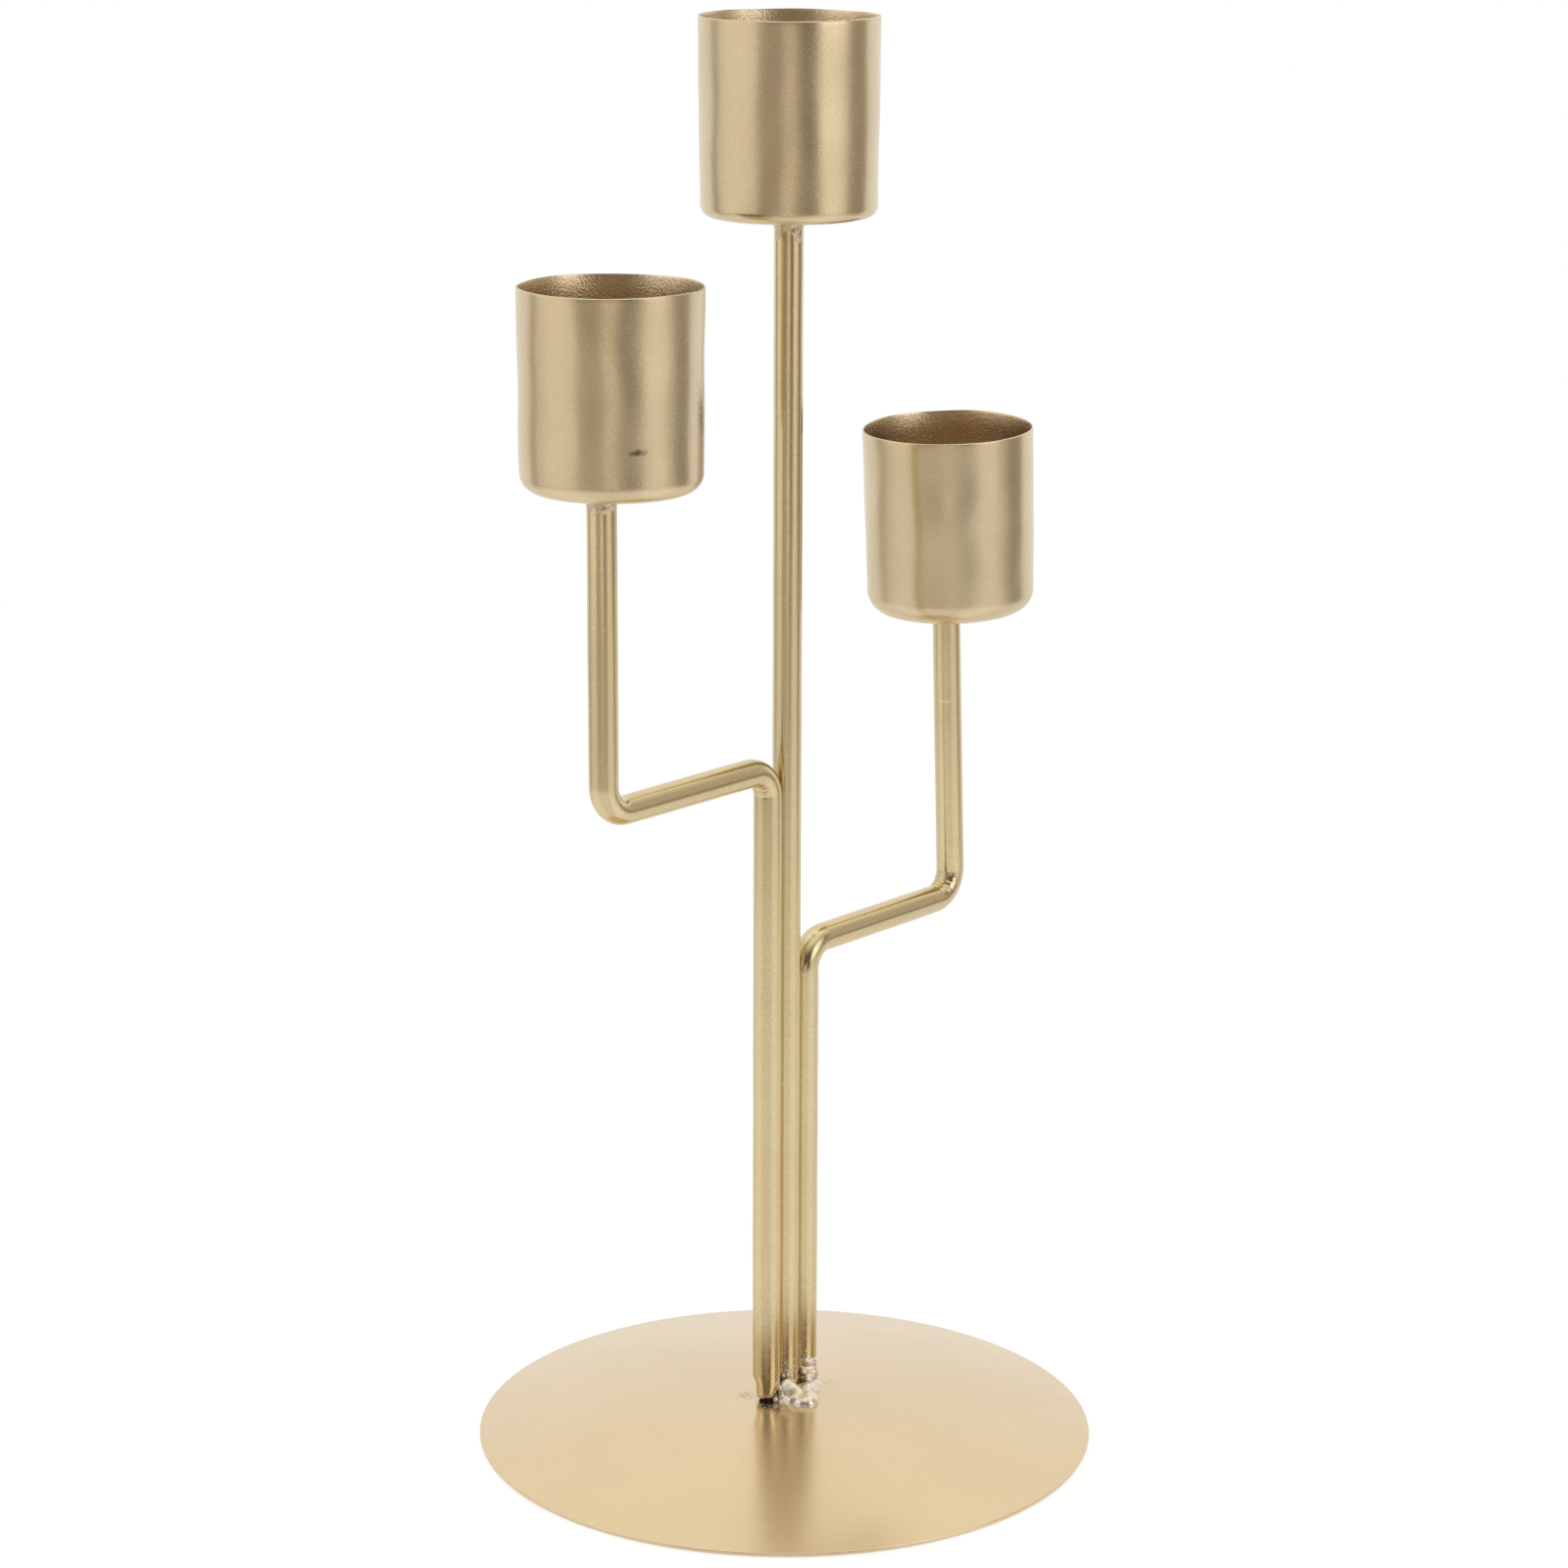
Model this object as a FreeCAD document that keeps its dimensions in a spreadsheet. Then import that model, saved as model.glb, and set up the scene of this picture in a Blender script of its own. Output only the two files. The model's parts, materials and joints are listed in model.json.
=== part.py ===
import FreeCAD, Part
import enum
import math
import os

import Sketcher

# A welded three-cup candelabra in painted steel, in millimetres.
# The origin is the middle of the base plate on the surface it stands on, +Z is up,
# and the arms lie in the XZ plane: the higher arm towards -X, the lower one towards +X.

SIZES = [
    # base plate: a domed round sheet, ground to a narrow flat ring underneath its rim
    ("plate_diameter", 88.0),
    ("plate_thickness", 0.8),
    ("plate_rise", 4.8),
    ("rim_flat", 1.2),
    # three rods side by side, the outer two bent out and up again
    ("rod_diameter", 4.0),
    ("rod_gap", 0.05),
    ("bend_inner_radius", 2.0),
    ("left_reach", 37.5),
    ("right_reach", 37.5),
    ("left_arm_height", 99.2),
    ("right_arm_height", 72.2),
    ("right_lean", 2.6),
    ("left_foot_gap", 0.8),
    # candle cups drawn from thin sheet
    ("cup_bore", 23.6),
    ("cup_wall", 0.4),
    ("cup_height", 26.6),
    ("cup_inner_corner", 1.8),
    ("centre_rim_height", 201.6),
    ("left_rim_height", 169.2),
    ("right_rim_height", 141.8),
    ("left_cup_shift", 2.0),
    ("right_cup_shift", 1.0),
    # weld beads under the cups
    ("cup_weld_drop", 2.0),
    ("cup_weld_width", 0.8),
    # weld beads at the foot of the rods
    ("front_weld_spread", 8.2),
    ("front_weld_height", 2.1),
    ("front_weld_place", -1.4),
    ("side_weld_thickness", 4.8),
    ("side_weld_height", 4.4),
    ("side_weld_place", -0.5),
    ("rear_weld_spread", 6.6),
    ("rear_weld_height", 1.8),
    ("rear_weld_place", 0.7),
    ("weld_root", 0.6),
]

CROWN = "(Sizes.plate_rise + Sizes.plate_thickness)"
UNDERSIDE_RADIUS = (
    "(((Sizes.plate_diameter / 2 - Sizes.rim_flat)^2 + Sizes.plate_rise^2) / (2 * Sizes.plate_rise))"
)
ROD_RADIUS = "(Sizes.rod_diameter / 2)"
ROD_PITCH = "(Sizes.rod_diameter + Sizes.rod_gap)"
BEND_RADIUS = "(Sizes.bend_inner_radius + Sizes.rod_diameter / 2)"
CUP_RADIUS = "(Sizes.cup_bore / 2 + Sizes.cup_wall)"
CUP_CORNER = "(Sizes.cup_inner_corner + Sizes.cup_wall)"
RIGHT_LEAN = "(Sizes.right_lean * 1 deg)"
NO_LEAN = "(0 deg)"

# Where each rod ends under its cup: how far out from the middle stem, and how high.
CENTRE_TOP = "(Sizes.centre_rim_height - Sizes.cup_height)"
LEFT_TOP = "(Sizes.left_rim_height - Sizes.cup_height)"
RIGHT_TOP = (
    f"(Sizes.right_rim_height - Sizes.cup_height * cos({RIGHT_LEAN})"
    f" - Sizes.right_cup_shift * sin({RIGHT_LEAN}))"
)
RIGHT_TOP_OUT = f"(Sizes.right_reach - ({RIGHT_TOP} - Sizes.right_arm_height) * tan({RIGHT_LEAN}))"

doc = FreeCAD.newDocument("Candelabra")
sheet = doc.addObject("Spreadsheet::Sheet", "Sizes")
for row, (alias, number) in enumerate(SIZES, start=1):
    sheet.set(f"A{row}", alias)
    sheet.set(f"B{row}", str(number))
    sheet.setAlias(f"B{row}", alias)
doc.recompute()
size = {alias: float(sheet.get(alias)) for alias, number in SIZES}


def evaluate(expression):
    """The present value of an expression on the sheet, as a plain number."""
    value = sheet.evalExpression(expression)
    return float(getattr(value, "Value", value))


def new_body(label):
    """An empty body that carries the name of its piece."""
    body = doc.addObject("PartDesign::Body", label)
    body.Label = label
    return body


def new_sketch(body, name, role):
    """A sketch on one of the body's own origin planes."""
    sketch = body.newObject("Sketcher::SketchObject", name)
    plane = next(feature for feature in body.Origin.OriginFeatures if feature.Role == role)
    sketch.AttachmentSupport = [(plane, "")]
    sketch.MapMode = "FlatFace"
    return sketch


def bind(sketch, name, constraint, expression):
    """Add a dimension to a sketch and tie it to the sheet."""
    index = sketch.addConstraint(constraint)
    sketch.renameConstraint(index, name)
    sketch.setExpression(f"Constraints.{name}", expression)


class Spot(enum.IntEnum):
    """The points of an edge that a sketch constraint can hold."""

    START = 1
    END = 2
    CENTRE = 3


class Datum(enum.IntEnum):
    """The sketch's own axes; the origin is the start of the level one."""

    LEVEL_AXIS = -1
    UPRIGHT_AXIS = -2


START, END, CENTRE = Spot.START, Spot.END, Spot.CENTRE
ORIGIN = (Datum.LEVEL_AXIS, Spot.START)


def line(sketch, start, end):
    """Add a straight edge between two points of the sketch plane."""
    return sketch.addGeometry(Part.LineSegment(FreeCAD.Vector(*start, 0), FreeCAD.Vector(*end, 0)))


def arc(sketch, centre, radius, start_degrees, end_degrees):
    """Add an arc that runs counter-clockwise between two angles."""
    circle = Part.Circle(FreeCAD.Vector(*centre, 0), FreeCAD.Vector(0, 0, 1), radius)
    span = (math.radians(start_degrees), math.radians(end_degrees))
    return sketch.addGeometry(Part.ArcOfCircle(circle, *span))


def join(sketch, first, first_end, second, second_end, kind="Coincident"):
    """Hold two ends together, tangent where the edges flow into each other."""
    sketch.addConstraint(Sketcher.Constraint(kind, first, first_end, second, second_end))


def revolve(body, sketch):
    """Turn a half profile once around the upright axis of its sketch."""
    turned = body.newObject("PartDesign::Revolution", f"{body.Label}_turned")
    turned.Profile = sketch
    turned.ReferenceAxis = (sketch, ["V_Axis"])
    turned.Angle = 360.0
    return turned


def base_plate():
    """A round sheet pressed into a shallow dome that stands on its rim."""
    body = new_body("base_plate")
    sketch = new_sketch(body, "plate_profile", "XZ_Plane")
    radius = size["plate_diameter"] / 2
    seat = radius - size["rim_flat"]
    rise = size["plate_rise"]
    thick = size["plate_thickness"]
    ball = (seat**2 + rise**2) / (2 * rise)
    middle = (0, rise - ball)
    seat_angle = math.degrees(math.atan2(-middle[1], seat))
    edge_angle = math.degrees(math.acos(radius / (ball + thick)))
    edge_top = middle[1] + math.sqrt((ball + thick) ** 2 - radius**2)
    under = arc(sketch, middle, ball, seat_angle, 90)
    over = arc(sketch, middle, ball + thick, edge_angle, 90)
    flat = line(sketch, (seat, 0), (radius, 0))
    edge = line(sketch, (radius, 0), (radius, edge_top))
    crown = line(sketch, (0, rise), (0, rise + thick))
    join(sketch, under, START, flat, START)
    join(sketch, flat, END, edge, START)
    join(sketch, edge, END, over, START)
    join(sketch, over, END, crown, END)
    join(sketch, crown, START, under, END)
    join(sketch, under, CENTRE, over, CENTRE)
    sketch.addConstraint(Sketcher.Constraint("PointOnObject", under, CENTRE, Datum.UPRIGHT_AXIS))
    sketch.addConstraint(Sketcher.Constraint("PointOnObject", crown, START, Datum.UPRIGHT_AXIS))
    sketch.addConstraint(Sketcher.Constraint("PointOnObject", crown, END, Datum.UPRIGHT_AXIS))
    sketch.addConstraint(Sketcher.Constraint("PointOnObject", flat, START, Datum.LEVEL_AXIS))
    sketch.addConstraint(Sketcher.Constraint("Horizontal", flat))
    sketch.addConstraint(Sketcher.Constraint("Vertical", edge))
    bind(sketch, "radius", Sketcher.Constraint("DistanceX", *ORIGIN, flat, END, radius),
         "Sizes.plate_diameter / 2")
    bind(sketch, "rim_flat", Sketcher.Constraint("DistanceX", flat, START, flat, END, size["rim_flat"]),
         "Sizes.rim_flat")
    bind(sketch, "rise", Sketcher.Constraint("DistanceY", *ORIGIN, crown, START, rise),
         "Sizes.plate_rise")
    bind(sketch, "thickness", Sketcher.Constraint("DistanceY", crown, START, crown, END, thick),
         "Sizes.plate_thickness")
    revolve(body, sketch)
    return body


def centre_stem():
    """The straight middle rod, from the crown of the plate to the highest cup."""
    rod = doc.addObject("Part::Cylinder", "centre_stem")
    rod.Label = "centre_stem"
    rod.setExpression("Radius", ROD_RADIUS)
    rod.setExpression("Height", f"{CENTRE_TOP} - {CROWN}")
    rod.setExpression("Placement.Base.z", CROWN)
    return rod


def arm(label, foot, height, lean, top_out, top, turn):
    """A rod that stands beside the middle stem, bends out level and bends up again to its cup.

    It is drawn towards +X and then turned about the middle stem.
    """
    body = new_body(label)
    body.setExpression("Placement", f"placement(vector(0; 0; 0); rotation(vector(0; 0; 1); {turn}))")
    section = new_sketch(body, f"{label}_section", "XY_Plane")
    section.setExpression("AttachmentOffset.Base.z", foot)
    rod_radius = size["rod_diameter"] / 2
    pitch = size["rod_diameter"] + size["rod_gap"]
    circle = section.addGeometry(
        Part.Circle(FreeCAD.Vector(pitch, 0, 0), FreeCAD.Vector(0, 0, 1), rod_radius)
    )
    section.addConstraint(Sketcher.Constraint("PointOnObject", circle, CENTRE, Datum.LEVEL_AXIS))
    bind(section, "pitch", Sketcher.Constraint("DistanceX", *ORIGIN, circle, CENTRE, pitch),
         ROD_PITCH)
    bind(section, "radius", Sketcher.Constraint("Radius", circle, rod_radius), ROD_RADIUS)

    path = new_sketch(body, f"{label}_path", "XZ_Plane")
    foot_z = evaluate(foot)
    arm_z = evaluate(height)
    top_x = evaluate(top_out)
    top_z = evaluate(top)
    tilt = evaluate(lean)
    bend = evaluate(BEND_RADIUS)
    corner_x = top_x + (top_z - arm_z) * math.tan(math.radians(tilt))
    bend_x = corner_x - bend * math.tan(math.radians(45 + tilt / 2))
    rise_from = (
        bend_x + bend * math.cos(math.radians(tilt)),
        arm_z + bend + bend * math.sin(math.radians(tilt)),
    )
    stem = line(path, (pitch, foot_z), (pitch, arm_z - bend))
    lower = arc(path, (pitch + bend, arm_z - bend), bend, 90, 180)
    level = line(path, (pitch + bend, arm_z), (bend_x, arm_z))
    upper = arc(path, (bend_x, arm_z + bend), bend, 270, 360 + tilt)
    upright = line(path, rise_from, (top_x, top_z))
    join(path, stem, END, lower, END, "Tangent")
    join(path, lower, START, level, START, "Tangent")
    join(path, level, END, upper, START, "Tangent")
    join(path, upper, END, upright, START, "Tangent")
    path.addConstraint(Sketcher.Constraint("Vertical", stem))
    path.addConstraint(Sketcher.Constraint("Horizontal", level))
    path.addConstraint(Sketcher.Constraint("Equal", lower, upper))
    bind(path, "pitch", Sketcher.Constraint("DistanceX", *ORIGIN, stem, START, pitch), ROD_PITCH)
    bind(path, "foot", Sketcher.Constraint("DistanceY", *ORIGIN, stem, START, foot_z), foot)
    bind(path, "height", Sketcher.Constraint("DistanceY", *ORIGIN, level, START, arm_z), height)
    bind(path, "bend", Sketcher.Constraint("Radius", lower, bend), BEND_RADIUS)
    bind(path, "lean", Sketcher.Constraint("Angle", upright, math.radians(90 + tilt)), f"90 deg + {lean}")
    bind(path, "top_out", Sketcher.Constraint("DistanceX", *ORIGIN, upright, END, top_x), top_out)
    bind(path, "top", Sketcher.Constraint("DistanceY", *ORIGIN, upright, END, top_z), top)
    doc.recompute()
    pipe = body.newObject("PartDesign::AdditivePipe", f"{label}_rod")
    pipe.Profile = section
    pipe.Spine = (path, [])
    return body


def cup(label, place):
    """A drawn cup with a rounded bottom corner and a plain cut rim, open upwards."""
    body = new_body(label)
    body.setExpression("Placement", place)
    sketch = new_sketch(body, f"{label}_profile", "XZ_Plane")
    wall = size["cup_wall"]
    inside = size["cup_bore"] / 2
    outside = inside + wall
    height = size["cup_height"]
    inner_corner = size["cup_inner_corner"]
    corner = inner_corner + wall
    flat = outside - corner
    under = line(sketch, (0, 0), (flat, 0))
    outer_bend = arc(sketch, (flat, corner), corner, 270, 360)
    outer_wall = line(sketch, (outside, corner), (outside, height))
    rim = line(sketch, (outside, height), (inside, height))
    inner_wall = line(sketch, (inside, height), (inside, corner))
    inner_bend = arc(sketch, (flat, corner), inner_corner, 270, 360)
    floor = line(sketch, (flat, wall), (0, wall))
    axis = line(sketch, (0, wall), (0, 0))
    join(sketch, under, END, outer_bend, START, "Tangent")
    join(sketch, outer_bend, END, outer_wall, START, "Tangent")
    join(sketch, outer_wall, END, rim, START)
    join(sketch, rim, END, inner_wall, START)
    join(sketch, inner_wall, END, inner_bend, END, "Tangent")
    join(sketch, inner_bend, START, floor, START, "Tangent")
    join(sketch, floor, END, axis, START)
    join(sketch, axis, END, under, START)
    join(sketch, under, START, *ORIGIN)
    join(sketch, inner_bend, CENTRE, outer_bend, CENTRE)
    for level in (under, rim):
        sketch.addConstraint(Sketcher.Constraint("Horizontal", level))
    for plumb in (outer_wall, axis):
        sketch.addConstraint(Sketcher.Constraint("Vertical", plumb))
    bind(sketch, "outside", Sketcher.Constraint("DistanceX", axis, END, outer_wall, END, outside), CUP_RADIUS)
    bind(sketch, "wall", Sketcher.Constraint("DistanceX", rim, END, rim, START, wall), "Sizes.cup_wall")
    bind(sketch, "height", Sketcher.Constraint("DistanceY", axis, END, rim, START, height),
         "Sizes.cup_height")
    bind(sketch, "corner", Sketcher.Constraint("Radius", outer_bend, corner), CUP_CORNER)
    revolve(body, sketch)
    return body


def cup_weld(label, place):
    """A bead run round the top of a rod, swelling outwards up to the cup's bottom."""
    body = new_body(label)
    body.setExpression("Placement", place)
    sketch = new_sketch(body, f"{label}_profile", "XZ_Plane")
    inside = size["rod_diameter"] / 2
    width = size["cup_weld_width"]
    drop = size["cup_weld_drop"]
    root = line(sketch, (inside, -drop), (inside, 0))
    seat = line(sketch, (inside, 0), (inside + width, 0))
    swell = (width**2 + drop**2) / (2 * width)
    toe_angle = math.degrees(math.asin(drop / swell))
    face = arc(sketch, (inside + width - swell, 0), swell, -toe_angle, 0)
    join(sketch, root, END, seat, START)
    join(sketch, seat, END, face, END)
    join(sketch, face, START, root, START)
    sketch.addConstraint(Sketcher.Constraint("Vertical", root))
    sketch.addConstraint(Sketcher.Constraint("PointOnObject", seat, START, Datum.LEVEL_AXIS))
    sketch.addConstraint(Sketcher.Constraint("PointOnObject", seat, END, Datum.LEVEL_AXIS))
    sketch.addConstraint(Sketcher.Constraint("PointOnObject", face, CENTRE, Datum.LEVEL_AXIS))
    bind(sketch, "rod", Sketcher.Constraint("DistanceX", *ORIGIN, seat, START, inside), ROD_RADIUS)
    bind(sketch, "width", Sketcher.Constraint("DistanceX", seat, START, seat, END, width),
         "Sizes.cup_weld_width")
    bind(sketch, "drop", Sketcher.Constraint("DistanceY", root, START, root, END, drop),
         "Sizes.cup_weld_drop")
    revolve(body, sketch)
    return body


def ball(body, name, kind, radius, x, y, z):
    """A ball added to a body or taken away from it, with its poles turned level, towards +Y and -Y."""
    lump = body.newObject(f"PartDesign::{kind}Sphere", name)
    lump.Placement.Rotation = FreeCAD.Rotation(FreeCAD.Vector(1, 0, 0), 90)
    lump.setExpression("Radius", radius)
    lump.setExpression("Placement.Base.x", x)
    lump.setExpression("Placement.Base.y", y)
    lump.setExpression("Placement.Base.z", z)


def bead_ball(body, name, kind, bead):
    """The ball whose cap above the crown of the plate is a lump of weld metal."""
    ball(body, name, kind, bead["ball"], bead["x"], bead["y"], f"{CROWN} + {bead['height']} - {bead['ball']}")


def foot_weld(label, bead, behind, neighbour=None):
    """A lump of weld metal between the rods and the plate, with both cut out of it.

    behind says which side of the rods the lump keeps clear of: +1 for +Y, -1 for -Y.
    """
    body = new_body(label)
    bead_ball(body, f"{label}_lump", "Additive", bead)
    stop = body.newObject("PartDesign::SubtractiveBox", f"{label}_stop")
    reach = "(2 * Sizes.plate_diameter)"
    for side in ("Length", "Width", "Height"):
        stop.setExpression(side, reach)
    stop.setExpression("Placement.Base.x", f"-{reach} / 2")
    stop.setExpression("Placement.Base.y", "-Sizes.weld_root" if behind > 0 else f"Sizes.weld_root - {reach}")
    stop.setExpression("Placement.Base.z", f"-{reach} / 2")
    ball(body, f"{label}_plate", "Subtractive", f"{UNDERSIDE_RADIUS} + Sizes.plate_thickness",
         "0", "0", f"Sizes.plate_rise - {UNDERSIDE_RADIUS}")
    for name, step in (("left", -1), ("centre", 0), ("right", 1)):
        rod = body.newObject("PartDesign::SubtractiveCylinder", f"{label}_{name}_rod")
        rod.setExpression("Radius", ROD_RADIUS)
        rod.setExpression("Height", f"2 * {CROWN} + 2 * ({bead['height']})")
        rod.setExpression("Placement.Base.x", f"{step} * {ROD_PITCH}")
    if neighbour:
        bead_ball(body, f"{label}_neighbour", "Subtractive", neighbour)
    return body


def on_rod(out, height, lean):
    """A placement on a rod's axis, tilted with the rod."""
    return f"placement(vector({out}; 0; {height}); rotation(vector(0; 1; 0); -{lean}))"


def cap_ball(spread, height):
    """The radius of the ball whose cap has this spread and height."""
    return f"((({spread}) / 2)^2 + ({height})^2) / (2 * ({height}))"


FRONT_BEAD = {
    "x": "Sizes.front_weld_place",
    "y": f"-{ROD_RADIUS}",
    "ball": f"({cap_ball('Sizes.front_weld_spread', 'Sizes.front_weld_height')})",
    "height": "Sizes.front_weld_height",
}
SIDE_BEAD = {
    "x": f"{ROD_PITCH} + Sizes.side_weld_place",
    "y": f"-{ROD_RADIUS}",
    "ball": "(Sizes.side_weld_thickness / 2)",
    "height": "Sizes.side_weld_height",
}
REAR_BEAD = {
    "x": "Sizes.rear_weld_place",
    "y": ROD_RADIUS,
    "ball": f"({cap_ball('Sizes.rear_weld_spread', 'Sizes.rear_weld_height')})",
    "height": "Sizes.rear_weld_height",
}
RIGHT_CUP_OUT = f"({RIGHT_TOP_OUT} + Sizes.right_cup_shift * cos({RIGHT_LEAN}))"
RIGHT_CUP_FOOT = f"({RIGHT_TOP} + Sizes.right_cup_shift * sin({RIGHT_LEAN}))"

pieces = [
    base_plate(),
    centre_stem(),
    arm("left_arm", f"({CROWN} + Sizes.left_foot_gap)", "Sizes.left_arm_height", NO_LEAN,
        "Sizes.left_reach", LEFT_TOP, "180 deg"),
    arm("right_arm", CROWN, "Sizes.right_arm_height", RIGHT_LEAN, RIGHT_TOP_OUT, RIGHT_TOP, "0 deg"),
    cup("centre_cup", on_rod("0", CENTRE_TOP, NO_LEAN)),
    cup("left_cup", on_rod("Sizes.left_cup_shift - Sizes.left_reach", LEFT_TOP, NO_LEAN)),
    cup("right_cup", on_rod(RIGHT_CUP_OUT, RIGHT_CUP_FOOT, RIGHT_LEAN)),
    cup_weld("centre_cup_weld", on_rod("0", CENTRE_TOP, NO_LEAN)),
    cup_weld("left_cup_weld", on_rod("-Sizes.left_reach", LEFT_TOP, NO_LEAN)),
    cup_weld("right_cup_weld", on_rod(RIGHT_TOP_OUT, RIGHT_TOP, RIGHT_LEAN)),
    foot_weld("foot_weld_front", FRONT_BEAD, behind=1),
    foot_weld("foot_weld_side", SIDE_BEAD, behind=1, neighbour=FRONT_BEAD),
    foot_weld("foot_weld_rear", REAR_BEAD, behind=-1),
]
doc.recompute()

failed = [item.Name for item in doc.Objects if {"Invalid", "Error"} & set(item.State)]
if failed:
    raise RuntimeError(f"not built: {', '.join(failed)}")
for piece in pieces:
    if piece.Shape.isNull() or not piece.Shape.isValid():
        raise RuntimeError(f"{piece.Label} has no valid shape")
    if len(piece.Shape.Solids) != 1:
        raise RuntimeError(f"{piece.Label} is {len(piece.Shape.Solids)} solids")

os.makedirs("parts", exist_ok=True)
for piece in pieces:
    piece.Shape.exportStep(f"parts/{piece.Label}.step")
    box = piece.Shape.optimalBoundingBox()
    print(f"{piece.Label}: {box.XLength:.2f} x {box.YLength:.2f} x {box.ZLength:.2f} mm,"
          f" {piece.Shape.Volume:.1f} mm3")
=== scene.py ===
"""Looks of a small welded candelabra: a domed plate, three rods, three drawn cups and their welds.

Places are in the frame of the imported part. Sizes are metres, except those of welds and spatter, which are
millimetres. The plate stands on z = 0 about the origin, the arms lie in the XZ plane, and the photographed
side looks towards -X and -Y.
"""

import json
import logging
import math
from dataclasses import dataclass
from enum import Enum

import bpy
import numpy as np
from mathutils import Matrix, Vector


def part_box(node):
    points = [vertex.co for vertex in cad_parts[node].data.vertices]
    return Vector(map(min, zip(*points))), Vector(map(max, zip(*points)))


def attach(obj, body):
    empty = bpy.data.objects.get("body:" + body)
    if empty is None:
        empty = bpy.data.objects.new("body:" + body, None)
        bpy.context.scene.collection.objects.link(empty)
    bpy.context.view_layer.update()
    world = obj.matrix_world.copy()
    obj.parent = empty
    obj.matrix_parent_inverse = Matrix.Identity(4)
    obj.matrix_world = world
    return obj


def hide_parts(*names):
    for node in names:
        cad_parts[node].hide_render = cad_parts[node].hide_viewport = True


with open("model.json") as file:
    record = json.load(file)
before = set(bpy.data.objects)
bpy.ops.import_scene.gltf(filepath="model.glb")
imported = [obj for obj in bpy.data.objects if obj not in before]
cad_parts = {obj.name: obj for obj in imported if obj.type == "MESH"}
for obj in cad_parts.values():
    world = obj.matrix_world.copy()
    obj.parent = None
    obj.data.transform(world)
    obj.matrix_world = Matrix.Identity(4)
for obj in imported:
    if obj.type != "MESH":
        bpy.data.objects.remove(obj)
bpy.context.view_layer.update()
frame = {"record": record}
LOG = logging.getLogger("candelabra")
FULL_TURN = 2.0 * math.pi  # radians
RIGHT_ANGLE = 90.0  # degrees, as the arcs of a profile have them
MILLIMETRES = 1000.0  # in a metre
MIDDLE = 0.5  # of a value that runs from 0 to 1
RIPPLE_WAVES = 11  # how many waves an uneven surface is the sum of
RIPPLE_PITCHES = (0.7, 1.4)  # the range of their wave numbers, where 1 is the typical wave
Pair = tuple[float, float]
Point = tuple[float, float, float]
Colour = tuple[float, float, float]
WHITE: Colour = (1.0, 1.0, 1.0)
UP: Point = (0.0, 0.0, 1.0)
SQUARE_TO_ARMS: Point = (0.0, 1.0, 0.0)


class Slot(Enum):
    """The record's material slots."""

    BASE = "base_paint"
    ROD = "rod_paint"
    CUP = "cup_paint"
    WELD = "weld_paint"


class Ray(Enum):
    """The kinds of ray to which the studio looks different."""

    CAMERA = "Is Camera Ray"
    GLOSSY = "Is Glossy Ray"
    TRANSMISSION = "Is Transmission Ray"


class Socket:
    """An output of a shader node that can be used in Python arithmetic."""

    def __init__(self, tree: "ShaderTree", link: bpy.types.NodeSocket) -> None:
        """Keep the tree that the node is in and the output itself."""
        self.tree = tree
        self.link = link

    def _math(self, operation: str, first: "Socket | float", second: "Socket | float") -> "Socket":
        """Add a Math node that works on two values."""
        return self.tree.node("ShaderNodeMath", {"operation": operation}, {0: first, 1: second})

    def __add__(self, other: "Socket | float") -> "Socket":
        """The sum with a value."""
        return self._math("ADD", self, other)

    def __radd__(self, other: float) -> "Socket":
        """The sum with a number on the left."""
        return self._math("ADD", other, self)

    def __sub__(self, other: "Socket | float") -> "Socket":
        """The difference from a value."""
        return self._math("SUBTRACT", self, other)

    def __rsub__(self, other: float) -> "Socket":
        """The difference from a number on the left."""
        return self._math("SUBTRACT", other, self)

    def __mul__(self, other: "Socket | float") -> "Socket":
        """The product with a value."""
        return self._math("MULTIPLY", self, other)

    def __rmul__(self, other: float) -> "Socket":
        """The product with a number on the left."""
        return self._math("MULTIPLY", other, self)

    def step(self, low: float, high: float) -> "Socket":
        """A smooth step from 0 at low to 1 at high."""
        return self.tree.node(
            "ShaderNodeMapRange",
            {"interpolation_type": "SMOOTHSTEP"},
            {"Value": self, "From Min": low, "From Max": high},
        )

    def larger(self, other: "Socket | float") -> "Socket":
        """The larger of two values."""
        return self._math("MAXIMUM", self, other)


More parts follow.
